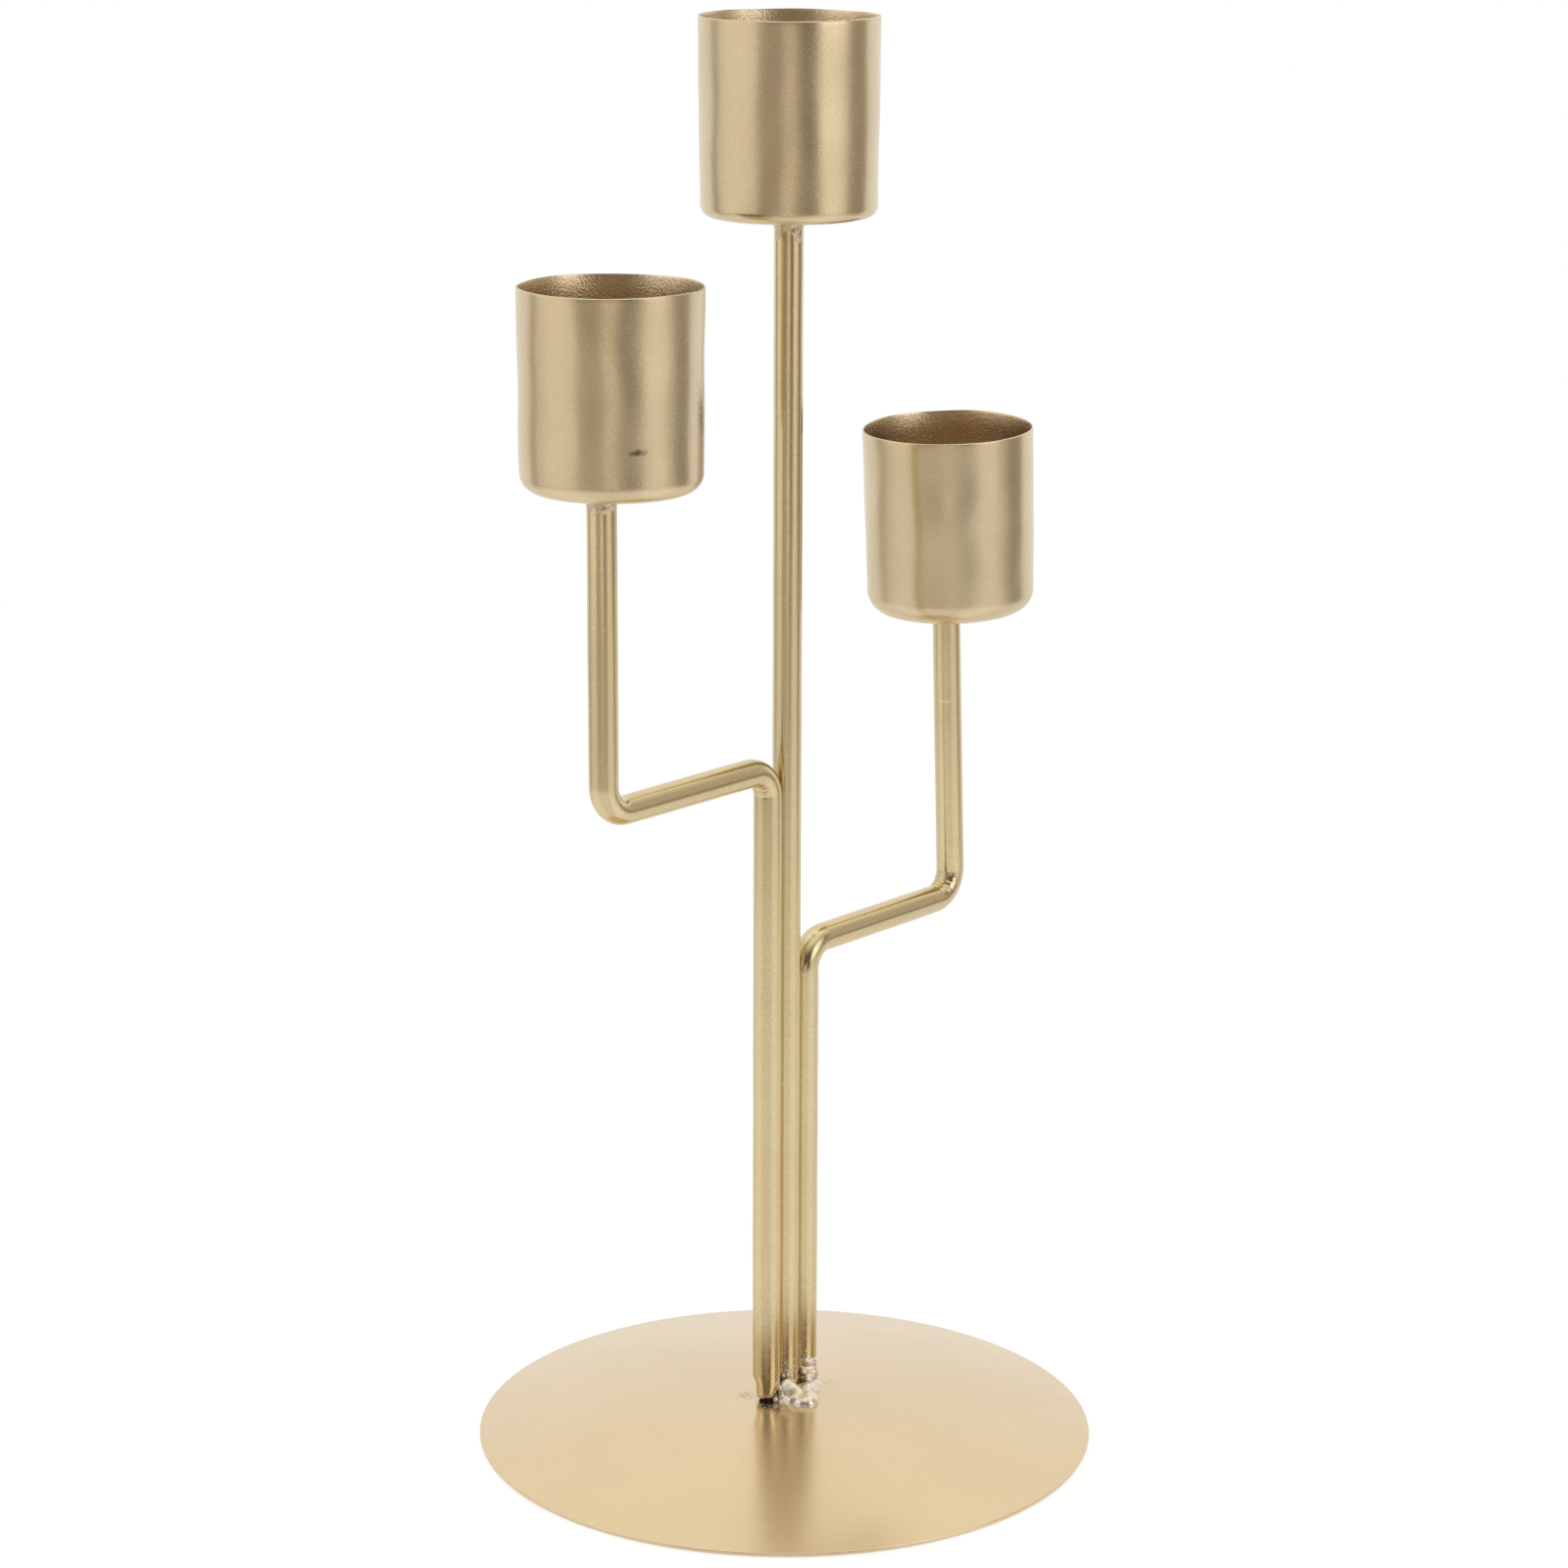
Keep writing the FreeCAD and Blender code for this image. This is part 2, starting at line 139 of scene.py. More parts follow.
class ShaderTree:
    """The node tree of one material or world, filled by expressions.

    A Mix node has sockets for each type of value. Those for colours have the numbers in MIX_INPUTS (the
    factor and the two colours) and MIX_OUTPUT.
    """

    MIX_INPUTS = (0, 6, 7)
    MIX_OUTPUT = 2

    def __init__(self, owner: bpy.types.Material | bpy.types.World) -> None:
        """Empty the owner's node tree.

        Args:
            owner: The material or world whose nodes are built.
        """
        owner.use_nodes = True
        self.nodes = owner.node_tree.nodes
        self.links = owner.node_tree.links
        self.nodes.clear()

    def node(
        self,
        kind: str,
        settings: dict[str, object],
        inputs: dict[str | int, "Socket | float | tuple"],
        output: str | int = 0,
    ) -> Socket:
        """Add a node of any type.

        Args:
            kind: The node's type name.
            settings: Properties of the node, set before its sockets.
            inputs: Values or links, by the socket's name or number.
            output: The output to hand back, by name or number.

        Returns:
            The chosen output.
        """
        node = self.nodes.new(kind)
        for name, value in settings.items():
            setattr(node, name, value)
        for key, value in inputs.items():
            if isinstance(value, Socket):
                self.links.new(value.link, node.inputs[key])
            else:
                node.inputs[key].default_value = value
        return Socket(self, node.outputs[output])

    def finish(self, kind: str, shader: Socket) -> None:
        """Lead a shader to the tree's output node.

        Args:
            kind: The output node's type name.
            shader: The shader that fills its Surface socket.
        """
        out = self.nodes.new(kind)
        self.links.new(shader.link, out.inputs["Surface"])

    def mix(self, factor: Socket | float, first: Socket | Colour, second: Socket | Colour) -> Socket:
        """A colour between two colours.

        Args:
            factor: 0 for the first colour, 1 for the second.
            first: The colour at 0.
            second: The colour at 1.

        Returns:
            The mixed colour.
        """
        ends = [end if isinstance(end, Socket) else (*end, 1.0) for end in (first, second)]
        inputs = dict(zip(self.MIX_INPUTS, (factor, *ends)))
        return self.node("ShaderNodeMix", {"data_type": "RGBA"}, inputs, self.MIX_OUTPUT)

    def noise(self, place: Socket, size: float, detail: float = 2.0) -> Socket:
        """Soft noise from 0 to 1 whose blotches are about one size across."""
        return self.node(
            "ShaderNodeTexNoise", {}, {"Vector": place, "Scale": 1.0 / size, "Detail": detail}
        )

    def dot(self, first: Socket, second: Point) -> Socket:
        """The dot product of a vector and a fixed direction."""
        inputs = {0: first, 1: second}
        return self.node("ShaderNodeVectorMath", {"operation": "DOT_PRODUCT"}, inputs, "Value")

    def length(self, vector: Socket) -> Socket:
        """The length of a vector."""
        return self.node("ShaderNodeVectorMath", {"operation": "LENGTH"}, {0: vector}, "Value")

    def place(self) -> Socket:
        """The piece's Object coordinates, in metres."""
        return self.node("ShaderNodeTexCoord", {}, {}, "Object")

    def own_map(self) -> Socket:
        """The piece's own map: metres along it and metres round it."""
        return self.node("ShaderNodeUVMap", {"uv_map": Skin.MAP_NAME}, {})

    def ray(self, kind: Ray) -> Socket:
        """1 for a kind of ray and 0 for the others."""
        return self.node("ShaderNodeLightPath", {}, {}, kind.value)

    def bump(
        self, height: Socket, distance: float, strength: float = 1.0, normal: Socket | None = None
    ) -> Socket:
        """The normal of a surface with a fine relief.

        Args:
            height: The relief, from 0 to 1.
            distance: How high 1 stands, in metres.
            strength: How much of the relief is used.
            normal: The normal that it is laid on, or None for the surface's own.

        Returns:
            The bumped normal.
        """
        inputs = {"Height": height, "Distance": distance, "Strength": strength}
        if normal is not None:
            inputs["Normal"] = normal
        return self.node("ShaderNodeBump", {}, inputs)


@dataclass(frozen=True)
class WearAndShadeMark:
    """A small patch of other colour in a finish: a ragged ellipsoid about a point of the piece.

    It serves worn marks as well as patches of painted shade and painted reflection.
    """

    centre: Point
    reach: Point
    colour: Colour
    strength: float
    roughness: float = 0.15
    solid_to: float = 0.35
    ragged_size: float = 0.0008
    raggedness: float = 0.8

    def mask(self, tree: ShaderTree, place: Socket) -> Socket:
        """How strongly the patch shows: its strength about its centre, fading out at its reach.

        Args:
            tree: The material's tree.
            place: Object coordinates.

        Returns:
            The mask, from 0 to the patch's strength.
        """
        apart = tree.node("ShaderNodeVectorMath", {"operation": "SUBTRACT"}, {0: place, 1: self.centre})
        scaled = tree.node("ShaderNodeVectorMath", {"operation": "DIVIDE"}, {0: apart, 1: self.reach})
        ragged = tree.length(scaled) + (tree.noise(place, self.ragged_size) - MIDDLE) * self.raggedness
        return (1.0 - ragged.step(self.solid_to, 1.0)) * self.strength


@dataclass(frozen=True)
class MetallicPaint:
    """Satin metallic paint: a gold tint, fine flake, a grainy skin, a thin clear coat, a drift of tone."""

    name: str
    tint: Colour
    shade: Colour
    sparkle: Colour
    roughness: float
    metallic: float = 1.0
    coat: float = 0.40
    coat_roughness: float = 0.24
    tone_size: float = 0.018
    tone_edges: Pair = (0.30, 0.70)
    tone_share: float = 0.5
    tone_roughness: float = 0.04
    flake_size: float = 0.00034
    flake_roughness: float = 0.08
    flash_from: float = 0.94
    sparkle_strength: float = 0.45
    grain_size: float = 0.00042
    grain_height: float = 0.000018
    grain_detail: float = 3.0
    peel_size: float = 0.0022
    peel_height: float = 0.000012
    drawn: bool = False
    line_scale: Point = (60.0, 2600.0, 1.0)
    line_strength: float = 0.25
    outer_roughness: float = 0.0
    outer_reach: Pair = (0.004, 0.040)
    inside_from: float = 0.0
    inside_edge: float = 0.0003
    # Painted sheen inside a cup: a paler tint and more pale flakes than outside.
    inside_sheen_tint: Colour = (0.74, 0.585, 0.38)
    inside_roughness: float = 0.06
    inside_flash_from: float = 0.86
    inside_sheen_flakes: float = 0.75
    inside_grain: float = 9.0
    marks_and_shade: tuple[WearAndShadeMark, ...] = ()

    def material(self) -> bpy.types.Material:
        """Build the paint's nodes.

        Base colour drifts between tint and shade with a slow noise, each flake lightens or darkens it a
        little, and a few flakes flash in the sparkle colour. Peel, a rod's draw lines and grain are bumps
        in a row. A plate may be rougher towards its rim. The inside of a cup, past a length on its own map,
        is a rougher and grainier overspray, painted paler and with more pale flakes as painted sheen.

        Returns:
            The material.
        """
        made = bpy.data.materials.new(self.name)
        tree = ShaderTree(made)
        place = tree.place()
        flake = self._flakes(tree, place)
        tone = tree.noise(place, self.tone_size).step(*self.tone_edges)
        drift = tone * self.tone_share + flake * (1.0 - self.tone_share)
        flash = flake.step(self.flash_from, 1.0) * self.sparkle_strength
        colour = tree.mix(flash, tree.mix(drift, self.tint, self.shade), self.sparkle)
        roughness = self.roughness + (tone - MIDDLE) * self.tone_roughness
        roughness = roughness + (flake - MIDDLE) * self.flake_roughness
        if self.outer_roughness:
            roughness = roughness + tree.length(place).step(*self.outer_reach) * self.outer_roughness
        inside = self._inside(tree) if self.inside_from else None
        if inside is not None:
            # Inside a cup, painted sheen: a paler tint with more pale flakes.
            flash = flake.step(self.inside_flash_from, 1.0) * self.inside_sheen_flakes
            colour = tree.mix(inside, colour, tree.mix(flash, self.inside_sheen_tint, self.sparkle))
            roughness = roughness + inside * self.inside_roughness
        # Worn marks, and patches of painted shade and painted reflection, are mixed in last.
        for mark in self.marks_and_shade:
            mask = mark.mask(tree, place)
            colour = tree.mix(mask, colour, mark.colour)
            roughness = roughness + mask * mark.roughness
        shader = tree.node(
            "ShaderNodeBsdfPrincipled",
            {},
            {
                "Base Color": colour,
                "Metallic": self.metallic,
                "Roughness": roughness,
                "Coat Weight": self.coat,
                "Coat Roughness": self.coat_roughness,
                "Normal": self._skin(tree, place, inside),
            },
        )
        tree.finish("ShaderNodeOutputMaterial", shader)
        return made

    def _inside(self, tree: ShaderTree) -> Socket:
        """0 outside a cup and 1 past the mouth, by the length along the cup's own map."""
        length = tree.node("ShaderNodeSeparateXYZ", {}, {0: tree.own_map()}, "X")
        return length.step(self.inside_from, self.inside_from + self.inside_edge)

    def _flakes(self, tree: ShaderTree, place: Socket) -> Socket:
        """One random value for each flake of the paint: the red of a random colour for each cell.

        Args:
            tree: The material's tree.
            place: Object coordinates.

        Returns:
            The value, from 0 to 1.
        """
        inputs = {"Vector": place, "Scale": 1.0 / self.flake_size}
        cells = tree.node("ShaderNodeTexVoronoi", {"feature": "F1"}, inputs, "Color")
        return tree.node("ShaderNodeSeparateColor", {}, {0: cells})

    def _skin(self, tree: ShaderTree, place: Socket, inside: Socket | None) -> Socket:
        """The normal after peel, draw lines and grain.

        Args:
            tree: The material's tree.
            place: Object coordinates.
            inside: 1 inside a cup, where the grain stands higher, or None where the piece is no cup.

        Returns:
            The bumped normal.
        """
        normal = tree.bump(tree.noise(place, self.peel_size), self.peel_height)
        if self.drawn:
            lines = tree.node("ShaderNodeMapping", {}, {"Vector": tree.own_map(), "Scale": self.line_scale})
            normal = tree.bump(tree.noise(lines, 1.0), self.peel_height, self.line_strength, normal)
        grain = tree.noise(place, self.grain_size, self.grain_detail)
        if inside is not None:
            grain = grain * (1.0 + inside * (self.inside_grain - 1.0))
        return tree.bump(grain, self.grain_height, normal=normal)


@dataclass(frozen=True)
class BurntScaleAndShade:
    """Heat-blackened scale for the burnt specks, and painted shade in the gap under the left rod: matt,
    crumbly, nearly black.
    """

    name: str = "burnt_scale_and_shade"
    black: Colour = (0.012, 0.010, 0.008)
    brown: Colour = (0.060, 0.042, 0.026)
    roughness: float = 0.78
    gloss: float = 0.08
    brown_edges: Pair = (0.40, 0.75)
    crumb_size: float = 0.0004
    crumb_height: float = 0.00005
    crumb_detail: float = 3.0

    def material(self) -> bpy.types.Material:
        """Build the scale's nodes: black crumbs with brown between them.

        Returns:
            The material.
        """
        made = bpy.data.materials.new(self.name)
        tree = ShaderTree(made)
        crumb = tree.noise(tree.place(), self.crumb_size, self.crumb_detail)
        shader = tree.node(
            "ShaderNodeBsdfPrincipled",
            {},
            {
                "Base Color": tree.mix(crumb.step(*self.brown_edges), self.black, self.brown),
                "Roughness": self.roughness,
                "Specular IOR Level": self.gloss,
                "Normal": tree.bump(crumb, self.crumb_height),
            },
        )
        tree.finish("ShaderNodeOutputMaterial", shader)
        return made


@dataclass
class Skin:
    """A closed surface: rings of points, joined round and along, and a point that closes each end."""

    MAP_NAME = "along_and_round"
    rings: np.ndarray
    first: np.ndarray
    last: np.ndarray
    girth: float = 1.0

    @property
    def points(self) -> np.ndarray:
        """Every point: the rings in order, then the two end points."""
        return np.concatenate([self.rings.reshape(-1, 3), self.first[None], self.last[None]])

    def faces(self) -> tuple[np.ndarray, np.ndarray]:
        """Quads between neighbouring rings, and triangles that close the two ends.

        Returns:
            The quads' and the triangles' point numbers.
        """
        rows, columns = self.rings.shape[:2]
        row, column = np.meshgrid(np.arange(rows - 1), np.arange(columns), indexing="ij")
        beside = (column + 1) % columns
        quads = np.stack(
            [
                row * columns + column,
                row * columns + beside,
                (row + 1) * columns + beside,
                (row + 1) * columns + column,
            ],
            axis=-1,
        ).reshape(-1, 4)
        around = np.arange(columns)
        onward = (around + 1) % columns
        end = (rows - 1) * columns
        first = np.full(columns, rows * columns)
        triangles = np.concatenate(
            [
                np.stack([onward, around, first], axis=-1),
                np.stack([end + around, end + onward, first + 1], axis=-1),
            ]
        )
        return quads, triangles

    def map(self) -> np.ndarray:
        """The surface's own map, corner by corner: metres along the rings and metres round them.

        Returns:
            One row for each corner of the faces, in the faces' order.
        """
        rows, columns = self.rings.shape[:2]
        steps = np.linalg.norm(np.diff(self.rings.mean(axis=1), axis=0), axis=-1)
        along = np.concatenate([[0.0], np.cumsum(steps)])
        around = np.arange(columns + 1) / columns * self.girth
        row, column = np.meshgrid(np.arange(rows - 1), np.arange(columns), indexing="ij")
        corner_rows = np.stack([row, row, row + 1, row + 1], axis=-1)
        corner_columns = np.stack([column, column + 1, column + 1, column], axis=-1)
        quads = np.stack([along[corner_rows], around[corner_columns]], axis=-1).reshape(-1, 2)
        fan = np.stack([around[1:], around[:-1], around[:-1]], axis=-1)
        first = np.stack([np.full(fan.shape, along[0]), fan], axis=-1).reshape(-1, 2)
        last = np.stack([np.full(fan.shape, along[-1]), fan], axis=-1).reshape(-1, 2)
        return np.concatenate([quads, first, last])


def place_object(name: str, data: bpy.types.ID) -> bpy.types.Object:
    """Add an object to the scene, at the origin.

    Args:
        name: The object's name.
        data: Its mesh, lamp or camera.

    Returns:
        The object.
    """
    made = bpy.data.objects.new(name, data)
    bpy.context.scene.collection.objects.link(made)
    return made


def build_piece(
    name: str, skins: list[Skin], finish: bpy.types.Material, nodes: tuple[str, ...]
) -> None:
    """Make one visible piece from its surfaces and set it on the part.

    Args:
        name: The piece's name.
        skins: The closed surfaces that it is made of.
        finish: Its material.
        nodes: The CAD nodes that it stands for, which may be none.
    """
    points, faces, corners = [], [], []
    start = 0
    for skin in skins:
        quads, triangles = skin.faces()
        points.append(skin.points)
        faces += (quads + start).tolist() + (triangles + start).tolist()
        corners.append(skin.map())
        start += len(skin.points)
    mesh = bpy.data.meshes.new(name)
    mesh.from_pydata(np.concatenate(points).tolist(), [], faces)
    layer = mesh.uv_layers.new(name=Skin.MAP_NAME)
    layer.data.foreach_set("uv", np.concatenate(corners).ravel())
    mesh.polygons.foreach_set("use_smooth", np.ones(len(faces), dtype=bool))
    mesh.materials.append(finish)
    mesh.update()
    piece = place_object(name, mesh)
    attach(piece, "root")
    if nodes:
        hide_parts(*nodes)
    LOG.info("%s: %d faces, for %s", name, len(faces), ", ".join(nodes) or "detail only")


def round_angles(columns: int) -> np.ndarray:
    """Even angles round a ring, in radians, without the one that closes it."""
    return np.arange(columns) / columns * FULL_TURN


def arc(centre: Pair, radius: float, start: float, end: float, count: int) -> np.ndarray:
    """Points on an arc of a profile: centre + radius (cos, sin) from a start to an end angle in degrees."""
    angle = np.radians(np.linspace(start, end, count))
    return np.stack([centre[0] + radius * np.cos(angle), centre[1] + radius * np.sin(angle)], axis=-1)


def run(start: Pair, end: Pair, count: int) -> np.ndarray:
    """Evenly spaced points of a straight stretch of a profile, both ends included."""
    return np.linspace(start, end, count)


def lathe(profile: np.ndarray, columns: int) -> np.ndarray:
    """Turn a profile about the Z axis: each point (r, z) becomes the ring (r cos a, r sin a, z).

    Args:
        profile: Rows of radius and height.
        columns: How many points a ring has.

    Returns:
        The rings.
    """
    angle = round_angles(columns)
    radius, height = profile[:, :1], profile[:, 1:]
    level = np.broadcast_to(height, (len(profile), columns))
    return np.stack([radius * np.cos(angle), radius * np.sin(angle), level], axis=-1)


def ripple(points: np.ndarray, wavelength: float, seed: int) -> np.ndarray:
    """Smooth unevenness of about -1 to 1: the sum of a few plane waves in random directions.

    Args:
        points: Where it is wanted, with the coordinates in the last axis.
        wavelength: The typical length of a wave.
        seed: Fixes the random draws.

    Returns:
        One value for each point.
    """
    draw = np.random.default_rng(seed)
    heading = draw.normal(size=(RIPPLE_WAVES, 3))
    heading /= np.linalg.norm(heading, axis=1, keepdims=True)
    number = FULL_TURN / wavelength * draw.uniform(*RIPPLE_PITCHES, (RIPPLE_WAVES, 1))
    phase = draw.uniform(0.0, FULL_TURN, RIPPLE_WAVES)
    return np.sin(points @ (heading * number).T + phase).sum(axis=-1) / math.sqrt(RIPPLE_WAVES)


def fade(value: np.ndarray, low: float, high: float) -> np.ndarray:
    """A smooth step from 0 at low to 1 at high: 3 t^2 - 2 t^3."""
    share = np.clip((value - low) / (high - low), 0.0, 1.0)
    return share * share * (3.0 - 2.0 * share)


def bell(offset: np.ndarray, width: float) -> np.ndarray:
    """A bell curve: exp(-(offset / width)^2)."""
    return np.exp(-((offset / width) ** 2))


def upright(axis: np.ndarray) -> np.ndarray:
    """Three rows that turn a shape's own X, Y and Z to stand on an axis in the XZ plane."""
    across = np.array([axis[2], 0.0, -axis[0]])
    return np.stack([across, np.array(SQUARE_TO_ARMS), axis])


@dataclass
class BasePlate:
    """The round sheet, pressed into a shallow dome, that stands on a narrow flat under its rim."""

    finish: MetallicPaint
    thickness: float = 0.0008
    rim_flat: float = 0.0012
    rim_round: float = 0.0002
    rim_under: float = -80.0
    rim_step: float = 0.05
    pole_gaps: Pair = (0.2, 0.1)
    waviness: float = 0.00004
    wave_length: float = 0.034
    wave_start: Pair = (0.004, 0.012)
    wave_end: float = 0.8
    seed: int = 3
    columns: int = 288
    under_rows: int = 60
    flat_rows: int = 4
    lower_rows: int = 6
    upper_rows: int = 8
    over_rows: int = 150

    def __post_init__(self) -> None:
        """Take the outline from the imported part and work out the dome's ball."""
        low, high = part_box("base_plate")
        self.radius = (high.x - low.x) / 2.0
        self.crown = high.z
        rise = self.crown - self.thickness
        seat = self.radius - self.rim_flat
        self.under_ball = (seat**2 + rise**2) / (2.0 * rise)
        self.middle = rise - self.under_ball

    def height(self, distance: np.ndarray | float) -> np.ndarray | float:
        """The top surface's height at a distance from the axis: middle + sqrt(ball^2 - distance^2)."""
        ball = self.under_ball + self.thickness
        return self.middle + np.sqrt(ball**2 - np.square(distance))

    def profile(self) -> np.ndarray:
        """The section from the middle of the underside, round the rim, to the middle of the top.

        The rim's top corner is an arc that touches the edge and the dome. The two arcs about the dome's
        middle stop a small angle short of the axis.

        Returns:
            Rows of radius and height.
        """
        seat = self.radius - self.rim_flat
        soft = self.rim_round
        over_ball = self.under_ball + self.thickness
        inset = self.radius - soft
        top_centre = self.middle + math.sqrt((over_ball - soft) ** 2 - inset**2)
        edge = RIGHT_ANGLE - math.degrees(math.asin(inset / (over_ball - soft)))
        seat_edge = RIGHT_ANGLE - math.degrees(math.asin(seat / self.under_ball))
        under_pole, over_pole = (RIGHT_ANGLE - gap for gap in self.pole_gaps)
        hub = (0.0, self.middle)
        return np.concatenate(
            [
                arc(hub, self.under_ball, under_pole, seat_edge, self.under_rows),
                run((seat + soft, 0.0), (inset, 0.0), self.flat_rows),
                arc((inset, soft), soft, self.rim_under, 0.0, self.lower_rows),
                arc((inset, top_centre), soft, 0.0, edge, self.upper_rows),
                arc(hub, over_ball, edge + self.rim_step, over_pole, self.over_rows),
            ]
        )

    def build(self) -> None:
        """Turn the profile, add the slight waves of pressed sheet, and make the piece."""
        rings = lathe(self.profile(), self.columns)
        reach = np.linalg.norm(rings[..., :2], axis=-1)
        still = fade(reach, self.wave_end * self.radius, self.radius)
        share = fade(reach, *self.wave_start) * (1.0 - still)
        rings[..., 2] += self.waviness * share * ripple(rings, self.wave_length, self.seed)
        first = np.array([0.0, 0.0, self.crown - self.thickness])
        last = np.array([0.0, 0.0, self.crown])
        skin = Skin(rings, first, last)
        build_piece("base_plate_dome", [skin], self.finish.material(), ("base_plate",))


@dataclass(frozen=True)
class Pinch:
    """Where a rod's foot is thinner on one side, and the two heights between which that eases out."""

    side: Point
    depth: float
    full_height: float
    end_height: float


@dataclass
class BentRod:
    """One rod: straight stretches and bends in the XZ plane, with the marks that bending leaves."""

    corners: tuple[Pair, ...]
    radius: float
    bend: float
    seed: int
    pinches: tuple[Pinch, ...] = ()
    crease_bend: int = -1
    crease_depth: float = 0.00011
    crease_pitch: float = 0.0011
    crease_width: float = 0.0019
    crease_base: float = 0.6
    flatten: float = 0.035
    ease_reach: float = 2.0
    ease_points: int = 21
    waviness: float = 0.000012
    wave_length: float = 0.011
    end_round: float = 0.00012
    step: float = 0.0006
    bend_points: int = 40
    columns: int = 56

    def path(self) -> tuple[np.ndarray, np.ndarray]:
        """The rod's middle line: runs of even steps joined by arcs that touch both runs.

        Returns:
            The points in X and Z, and each one's bend: 0 on a run, and 1 or -1 in an arc, by its side.
        """
        corners = np.array(self.corners)
        pieces, turns = [], []
        start = corners[0]
        for before, corner, after in zip(corners[:-2], corners[1:-1], corners[2:]):
            come = (corner - before) / np.linalg.norm(corner - before)
            leave = (after - corner) / np.linalg.norm(after - corner)
            side = np.sign(come[0] * leave[1] - come[1] * leave[0])
            turn = math.acos(np.clip(come @ leave, -1.0, 1.0))
            inset = self.bend * math.tan(turn / 2.0)
            enter = corner - come * inset
            pieces.append(self._even(start, enter))
            turns.append(np.zeros(len(pieces[-1])))
            across = side * np.array([-come[1], come[0]])
            angle = np.linspace(0.0, turn, self.bend_points)[:-1, None]
            pieces.append(enter + self.bend * (np.sin(angle) * come + (1.0 - np.cos(angle)) * across))
            turns.append(np.full(len(angle), side))
            start = corner + leave * inset
        pieces.append(np.concatenate([self._even(start, corners[-1]), corners[-1:]]))
        turns.append(np.zeros(len(pieces[-1])))
        return np.concatenate(pieces), np.concatenate(turns)

    def _even(self, start: np.ndarray, end: np.ndarray) -> np.ndarray:
        """Even steps from start up to, and without, end."""
        count = max(2, int(np.linalg.norm(end - start) / self.step))
        return np.linspace(start, end, count, endpoint=False)

    def skin(self) -> Skin:
        """Carry a ring along the path: centre + r (Y cos a + E sin a), with E square to path and Y.

        In a bend the ring is flattened a little, and small creases lie on the inner side of one bend. The
        ends are rounded, and a pinch thins one side of a foot.

        Returns:
            The rod's surface.
        """
        line, turns = self.path()
        heading = np.gradient(line, axis=0)
        heading /= np.linalg.norm(heading, axis=1, keepdims=True)
        length = np.concatenate([[0.0], np.cumsum(np.linalg.norm(np.diff(line, axis=0), axis=1))])
        angle = round_angles(self.columns)
        kernel = bell(np.linspace(-self.ease_reach, self.ease_reach, self.ease_points), 1.0)
        bent = np.convolve(turns, kernel / kernel.sum(), mode="same")[:, None]
        inner = np.clip(np.sin(angle) * -np.sign(bent), 0.0, 1.0) ** 3
        radius = self.radius * (1.0 - self.flatten * np.abs(bent) * np.sin(angle) ** 2)
        radius = radius - self._creases(turns, length) * inner
        from_end = np.minimum(length, length[-1] - length)[:, None]
        corner = np.clip(1.0 - from_end / self.end_round, 0.0, 1.0)
        radius = radius - self.end_round * (1.0 - np.sqrt(1.0 - corner**2))
        side = np.stack([-heading[:, 1], np.zeros(len(line)), heading[:, 0]], axis=-1)
        centre = np.stack([line[:, 0], np.zeros(len(line)), line[:, 1]], axis=-1)
        out = np.cos(angle)[None, :, None] * np.array(SQUARE_TO_ARMS)
        out = out - np.sin(angle)[None, :, None] * side[:, None, :]
        for pinch in self.pinches:
            eased = 1.0 - fade(length, pinch.full_height, pinch.end_height)[:, None]
            radius = radius - pinch.depth * eased * np.clip(out @ np.array(pinch.side), 0.0, 1.0) ** 2
        rings = centre[:, None, :] + radius[..., None] * out
        rings = rings + out * (self.waviness * ripple(rings, self.wave_length, self.seed))[..., None]
        return Skin(rings, centre[0], centre[-1], girth=FULL_TURN * self.radius)

    def _creases(self, turns: np.ndarray, length: np.ndarray) -> np.ndarray:
        """Depth of the creases along the rod: a wave under a bell about the middle of one bend.

        Args:
            turns: How much each point of the path is bent.
            length: Each point's distance along the path.

        Returns:
            One depth for each point, as a column.
        """
        if self.crease_bend < 0:
            return np.zeros((len(length), 1))
        starts = np.flatnonzero(np.diff(np.abs(turns)) > MIDDLE)
        ends = np.flatnonzero(np.diff(np.abs(turns)) < -MIDDLE)
        middle = (length[starts[self.crease_bend]] + length[ends[self.crease_bend]]) / 2.0
        offset = length - middle
        wave = self.crease_base + np.cos(FULL_TURN * offset / self.crease_pitch)
        return (self.crease_depth * wave * bell(offset, self.crease_width))[:, None]


